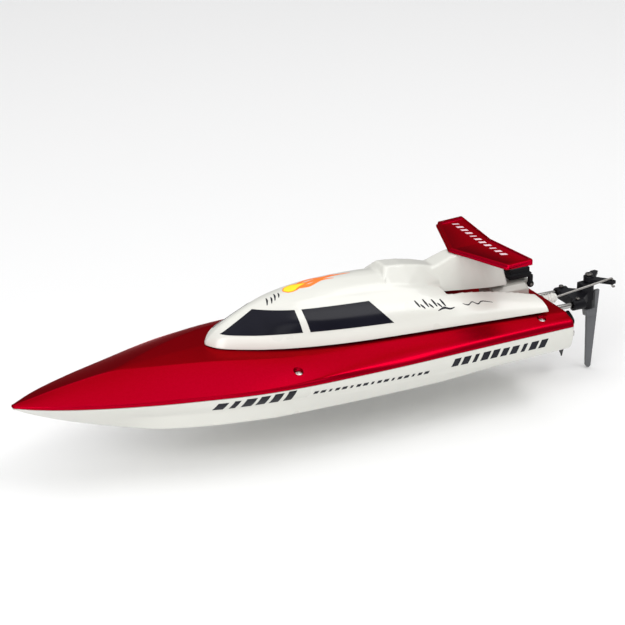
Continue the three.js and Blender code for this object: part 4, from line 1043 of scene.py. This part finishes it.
def tube(name, radius, bore, start, end):
    """Drawn tube: solid rod with softened rims and an open bore at its outer end."""
    start, end = Vector(start), Vector(end)
    length, rim = (end - start).length, 0.15
    edge = [(0, radius - rim), (rim * 0.3, radius - rim * 0.3), (rim, radius)]
    profile = edge + [(length - along, wide) for along, wide in reversed(edge)]
    rod = turned(name, profile, start, end - start, 36)
    return cut(rod, turned("bore", [(-1, bore), (6, bore)], start, end - start, 24))


WIRE_SIDES, WIRE_RINGS = 14, 90


def smooth_path(path):
    """Closely spaced points on a smooth curve through a path."""
    path = [Vector(p) for p in path]
    whole = sum((b - a).length for a, b in zip(path, path[1:]))
    dense = []
    for p0, p1, p2, p3 in zip(path[:1] + path, path, path[1:], path[2:] + path[-1:]):
        limit = (p2 - p1).length
        count = max(3, int(WIRE_RINGS * limit / whole))
        m1, m2 = ((b - a) * 0.3 for a, b in ((p0, p2), (p1, p3)))
        m1, m2 = (m.normalized() * min(m.length, limit) for m in (m1, m2))
        for t in (k / count for k in range(count)):
            dense.append(p1 * (2 * t**3 - 3 * t**2 + 1) + m1 * (t**3 - 2 * t**2 + t)
                         + p2 * (3 * t**2 - 2 * t**3) + m2 * (t**3 - t**2))
    return dense + path[-1:]


def sweep(name, path, radius):
    """Round wire along a smooth path."""
    points = smooth_path(path)
    angles = np.linspace(0, 2 * math.pi, WIRE_SIDES, endpoint=False)
    normal = Vector(UP)
    rings = []
    for before, point, after in zip(points[:1] + points, points, points[1:] + points[-1:]):
        heading = (after - before).normalized()
        side = heading.cross(normal)
        if side.length < 0.05:
            side = heading.cross(Vector((0, 1, 0)))
        side.normalize()
        normal = side.cross(heading).normalized()
        spokes = [side * math.cos(a) + normal * math.sin(a) for a in angles]
        rings.append(np.array([tuple(point + spoke * radius) for spoke in spokes]))
    return loft(name, rings)


# ---- drive line
SHAFT_INCLINE = math.radians(6.5)
HUB = Vector((-21.5, 0, -24.2))
SHAFT_AXIS = Vector((math.cos(SHAFT_INCLINE), 0, math.sin(SHAFT_INCLINE)))
PROP_RADIUS, BLADE_ROOT, BLADE_SIDES = 13.8, 1.8, 28
TIP_STEPS = np.array([1.0, 0.55, 0.25, 0.08])
HUB_PROFILE = [(-3.6, 2.4), (-3.4, 2.65), (-2.5, 3.15), (3.2, 3.15), (4.2, 2.9), (4.6, 2.5)]


def blade_ring(r):
    """Twisted, cambered section of an upright blade at radius r, with x along the shaft."""
    share = (r - BLADE_ROOT) / (PROP_RADIUS - BLADE_ROOT)
    chord = 2.1 + 3.1 * math.sin(math.pi * min(share * 0.95 + 0.08, 1)) ** 0.8
    chord *= math.sqrt(max(1 - (max(share - 0.45, 0) / 0.555) ** 1.7, 0.004))
    twist = math.pi / 2 - math.atan2(11.0, r * 0.62 + 2.4)
    s = np.linspace(0, 2 * math.pi, BLADE_SIDES, endpoint=False)
    along = np.cos(s) * chord
    out = np.sin(s) * (0.62 - 0.42 * share) + 0.5 * (1 - (along / chord) ** 2) * share
    rake = -1.2 * share**2
    fore = along * math.cos(twist) + out * math.sin(twist) + rake
    wide = along * math.sin(twist) - out * math.cos(twist)
    return np.column_stack([fore, -wide, np.full(BLADE_SIDES, r)])


def make_propeller():
    """Two blades on a hub; built along x, then laid on the inclined shaft."""
    hub = turned("propeller_moulding", HUB_PROFILE, (0, 0, 0), AHEAD)
    radii = np.concatenate([np.linspace(BLADE_ROOT, 12.2, 16), PROP_RADIUS - TIP_STEPS])
    for turn in (0.0, math.pi):
        blade = loft("blade", [blade_ring(r) for r in radii])
        blade.data.transform(Matrix.Rotation(turn, 4, "X"))
        union(hub, blade)
    cut(hub, turned("bore", [(-6, 1.8), (6, 1.8)], (0, 0, 0), AHEAD, 30))
    hub.data.transform(Matrix.Translation(HUB) @ Matrix.Rotation(-SHAFT_INCLINE, 4, "Y"))
    return hub


def make_nut():
    """Domed lock nut with a hexagon body behind the propeller."""
    start = HUB - SHAFT_AXIS * 6.4
    nut = turned("lock_nut", [(0, 1.7), (0.15, 2.05), (0.5, 2.2), (0.8, 2.25)], start, SHAFT_AXIS, 36)
    hexagon = turned("hexagon", [(0, 2.6), (1.8, 2.6)], start + SHAFT_AXIS * 0.7, SHAFT_AXIS, 6)
    modified(hexagon, "BEVEL", width=0.2, segments=2, limit_method="ANGLE", angle_limit=math.radians(30))
    union(nut, hexagon)
    return cut(nut, turned("bore", [(0.7, 1.8), (4, 1.8)], start, SHAFT_AXIS, 24))


# ---- steering
TUBE_Y, TUBE_Z, TUBE_RADIUS, TUBE_BORE = 10.0, -3.0, 1.5, 1.0
TILLER_HOLE = (-46.4, 10.0)
ROD_RADIUS, ROD_AT_TRANSOM, ROD_AT_TILLER = 0.6, 2.6, 8.5
ROD_SLOPE = (ROD_AT_TILLER - ROD_AT_TRANSOM) / -TILLER_HOLE[0]
BOOT_Y = 9.5


def rod_z(x):
    return ROD_AT_TRANSOM - ROD_SLOPE * x


def make_pushrod():
    x, y = TILLER_HOLE
    fore = boat_box("pushrod")[1].x - 0.05
    points = [(fore, y, rod_z(fore)), (x + 2.4, y, rod_z(x + 2.4)), (x + 0.7, y, rod_z(x) - 0.2),
              (x, y, rod_z(x) - 1.2), (x, y, 4.0), (x - 0.5, y, 3.1), (x - 1.8, y - 0.6, 2.8)]
    return sweep("pushrod_wire", points, ROD_RADIUS)


BOOT_RIB = ((-0.55, 2.45), (-0.25, 2.8), (0, 2.92), (0.25, 2.8), (0.55, 2.45), (0.85, 2.25))


def make_boot():
    """Ribbed sleeve round the pushrod where it leaves the deck, hollow down its middle."""
    outer = [(-9.4, 1.75), (-9.2, 2.1), (-8.8, 2.3)]
    for x in (-7.6, -5.6, -3.8):
        outer += [(x + along, radius) for along, radius in BOOT_RIB]
    outer += [(-2.5, 2.3), (-2.3, 3.0), (-2.1, 3.1), (-1.3, 3.1), (-1.15, 3.0), (-1.1, 1.9), (1.9, 1.9)]
    boot = turned("pushrod_sleeve", outer, (0, 0, 0), AHEAD)
    cut(boot, turned("bore", [(-10, 1.55), (3, 1.55)], (0, 0, 0), AHEAD, 32))
    boot.data.transform(
        Matrix.Translation((0, BOOT_Y, ROD_AT_TRANSOM)) @ Matrix.Rotation(math.atan(ROD_SLOPE), 4, "Y"))
    return boot


# ---- assembly of the looks
# Voxel, smoothing rounds, body, material and slot of the pieces rounded from their CAD shape.
MOULDINGS = {
    # The tail housing takes the darker ivory, a painted shade for the wing's shadow on it.
    "tail_housing": (0.3, 4, "hull", "painted_shade_ivory", "ivory"),
    "rudder_bracket": (0.25, 4, "hull", "black_plastic", "black_plastic"),
    "tiller_arm": (0.22, 5, "rudder", "black_plastic", "black_plastic"),
    "rudder_blade": (0.24, 3, "rudder", "grey_plastic", "grey_plastic"),
    "latch_lever": (0.25, 5, "latch", "black_plastic", "black_plastic"),
}
# Node, body, material, head radius, head height and shank radius of every screw.
# Deck and wing screws use the lighter screw steel, which paints in the overhead light on their heads.
SCREWS = [(node, "hull", "screw_steel", 2.2, 1.2, 1.0) for node in DECK_SCREWS]
SCREWS += [(f"{side}_{end}_hatch_screw", "hull", "dark_steel", 1.8, 1.0, 0.8)
           for side in SIDES for end in ("front", "rear")]
SCREWS += [(f"{side}_tube_clamp_screw", "hull", "dark_steel", 1.4, 1.0, 0.6) for side in SIDES]
SCREWS += [(node, "canopy", "screw_steel", 2.0, 1.4, 0.8) for node in WING_SCREWS]
SCREWS += [("tiller_screw", "rudder", "dark_steel", 2.2, 1.1, 1.0)]

add_camera()
add_stage()
MATERIALS = {}
for make, table in (moulded, MOULDED), (brushed, BRUSHED), (lacquer, LACQUERED):
    MATERIALS.update((key, make(*row)) for key, row in table.items())

for node, piece in frame["nodes"].items():
    slot_name = next(s["material_slot"] for s in frame["record"]["subparts"] if s["node"] == node)
    piece.data.materials.clear()
    piece.data.materials.append(MATERIALS[slot_name])
    smooth_shaded(piece, angle=40)
frame["nodes"]["latch_pin"].data.materials[0] = MATERIALS["dark_steel"]

hull = make_hull()
deck = make_deck()
canopy = make_canopy()
wing = make_wing()
canopy_tree, hull_tree = surface_of(canopy), surface_of(hull)
for word, side in SIDES.items():
    for end, corners in WINDOWS.items():
        pane = make_window(f"{word}_{end}_pane", canopy_tree, corners, side)
        settle(pane, "canopy", "window_black", "window_black", f"{word}_{end}_window")
    flank_marks = strokes_on(f"{word}_flank_marks", canopy_tree, FLANK_STROKES, side)
    settle(flank_marks, "canopy", "ink_navy", "window_black")
    hull_marks = joined(f"{word}_hull_marks", [bars(hull_tree, *row, side) for row in HULL_BARS])
    settle(hull_marks, "hull", "ink_navy", "window_black")
settle(strokes_on("roof_marks", canopy_tree, ROOF_STROKES), "canopy", "ink_navy", "window_black")
settle(strokes_on("comet_tails", canopy_tree, COMET_TAILS), "canopy", "ink_orange", "red_paint")
settle(strokes_on("comet_head", canopy_tree, COMET_HEAD, lift=INK_LIFT * 2), "canopy", "ink_yellow", "brass")
settle(make_wing_marks(surface_of(wing)), "canopy", "ink_pink", "white_plastic")
settle(hull, "hull", "ivory", "ivory", "lower_hull")
settle(deck, "hull", "red_paint", "red_paint", "upper_deck", angle=32)
settle(canopy, "canopy", "ivory", "ivory", "canopy_shell", angle=50)
settle(wing, "canopy", "red_wing", "red_paint", "rear_wing", angle=50)

for node, (voxel, rounds, body, material, slot) in MOULDINGS.items():
    settle(moulding(node, voxel, rounds), body, material, slot, node, angle=60)

for node, body, material, radius, head, shank in SCREWS:
    low, high = boat_box(node)
    centre = middle(node)
    if node in WING_SCREWS:
        seat, axis = Vector((centre.x, 0, low.z + head)), (0, 0, -1)
        length = high.z - seat.z
    else:
        seat, axis = Vector((centre.x, centre.y, high.z - head)), UP
        length = max(seat.z - low.z, 0.02)
    screw = pan_head(f"{node}_steel", seat, radius, head, axis, (shank, length))
    settle(screw, body, material, "steel", node)

for word, side in SIDES.items():
    low, high = boat_box(f"{word}_rudder_tube")
    ends = [(x, TUBE_Y * side, TUBE_Z) for x in (low.x, high.x)]
    rod = tube(f"{word}_chrome_tube", TUBE_RADIUS, TUBE_BORE, *ends)
    settle(rod, "hull", "tube_steel", "steel", f"{word}_rudder_tube")

settle(make_propeller(), "drive", "black_plastic", "black_plastic", "propeller", angle=40)
settle(make_nut(), "drive", "steel", "steel", "propeller_nut")
settle(make_pushrod(), "pushrod", "wire_steel", "steel", "pushrod", angle=60)
settle(make_boot(), "hull", "white_rubber", "white_rubber", "pushrod_boot", angle=50)
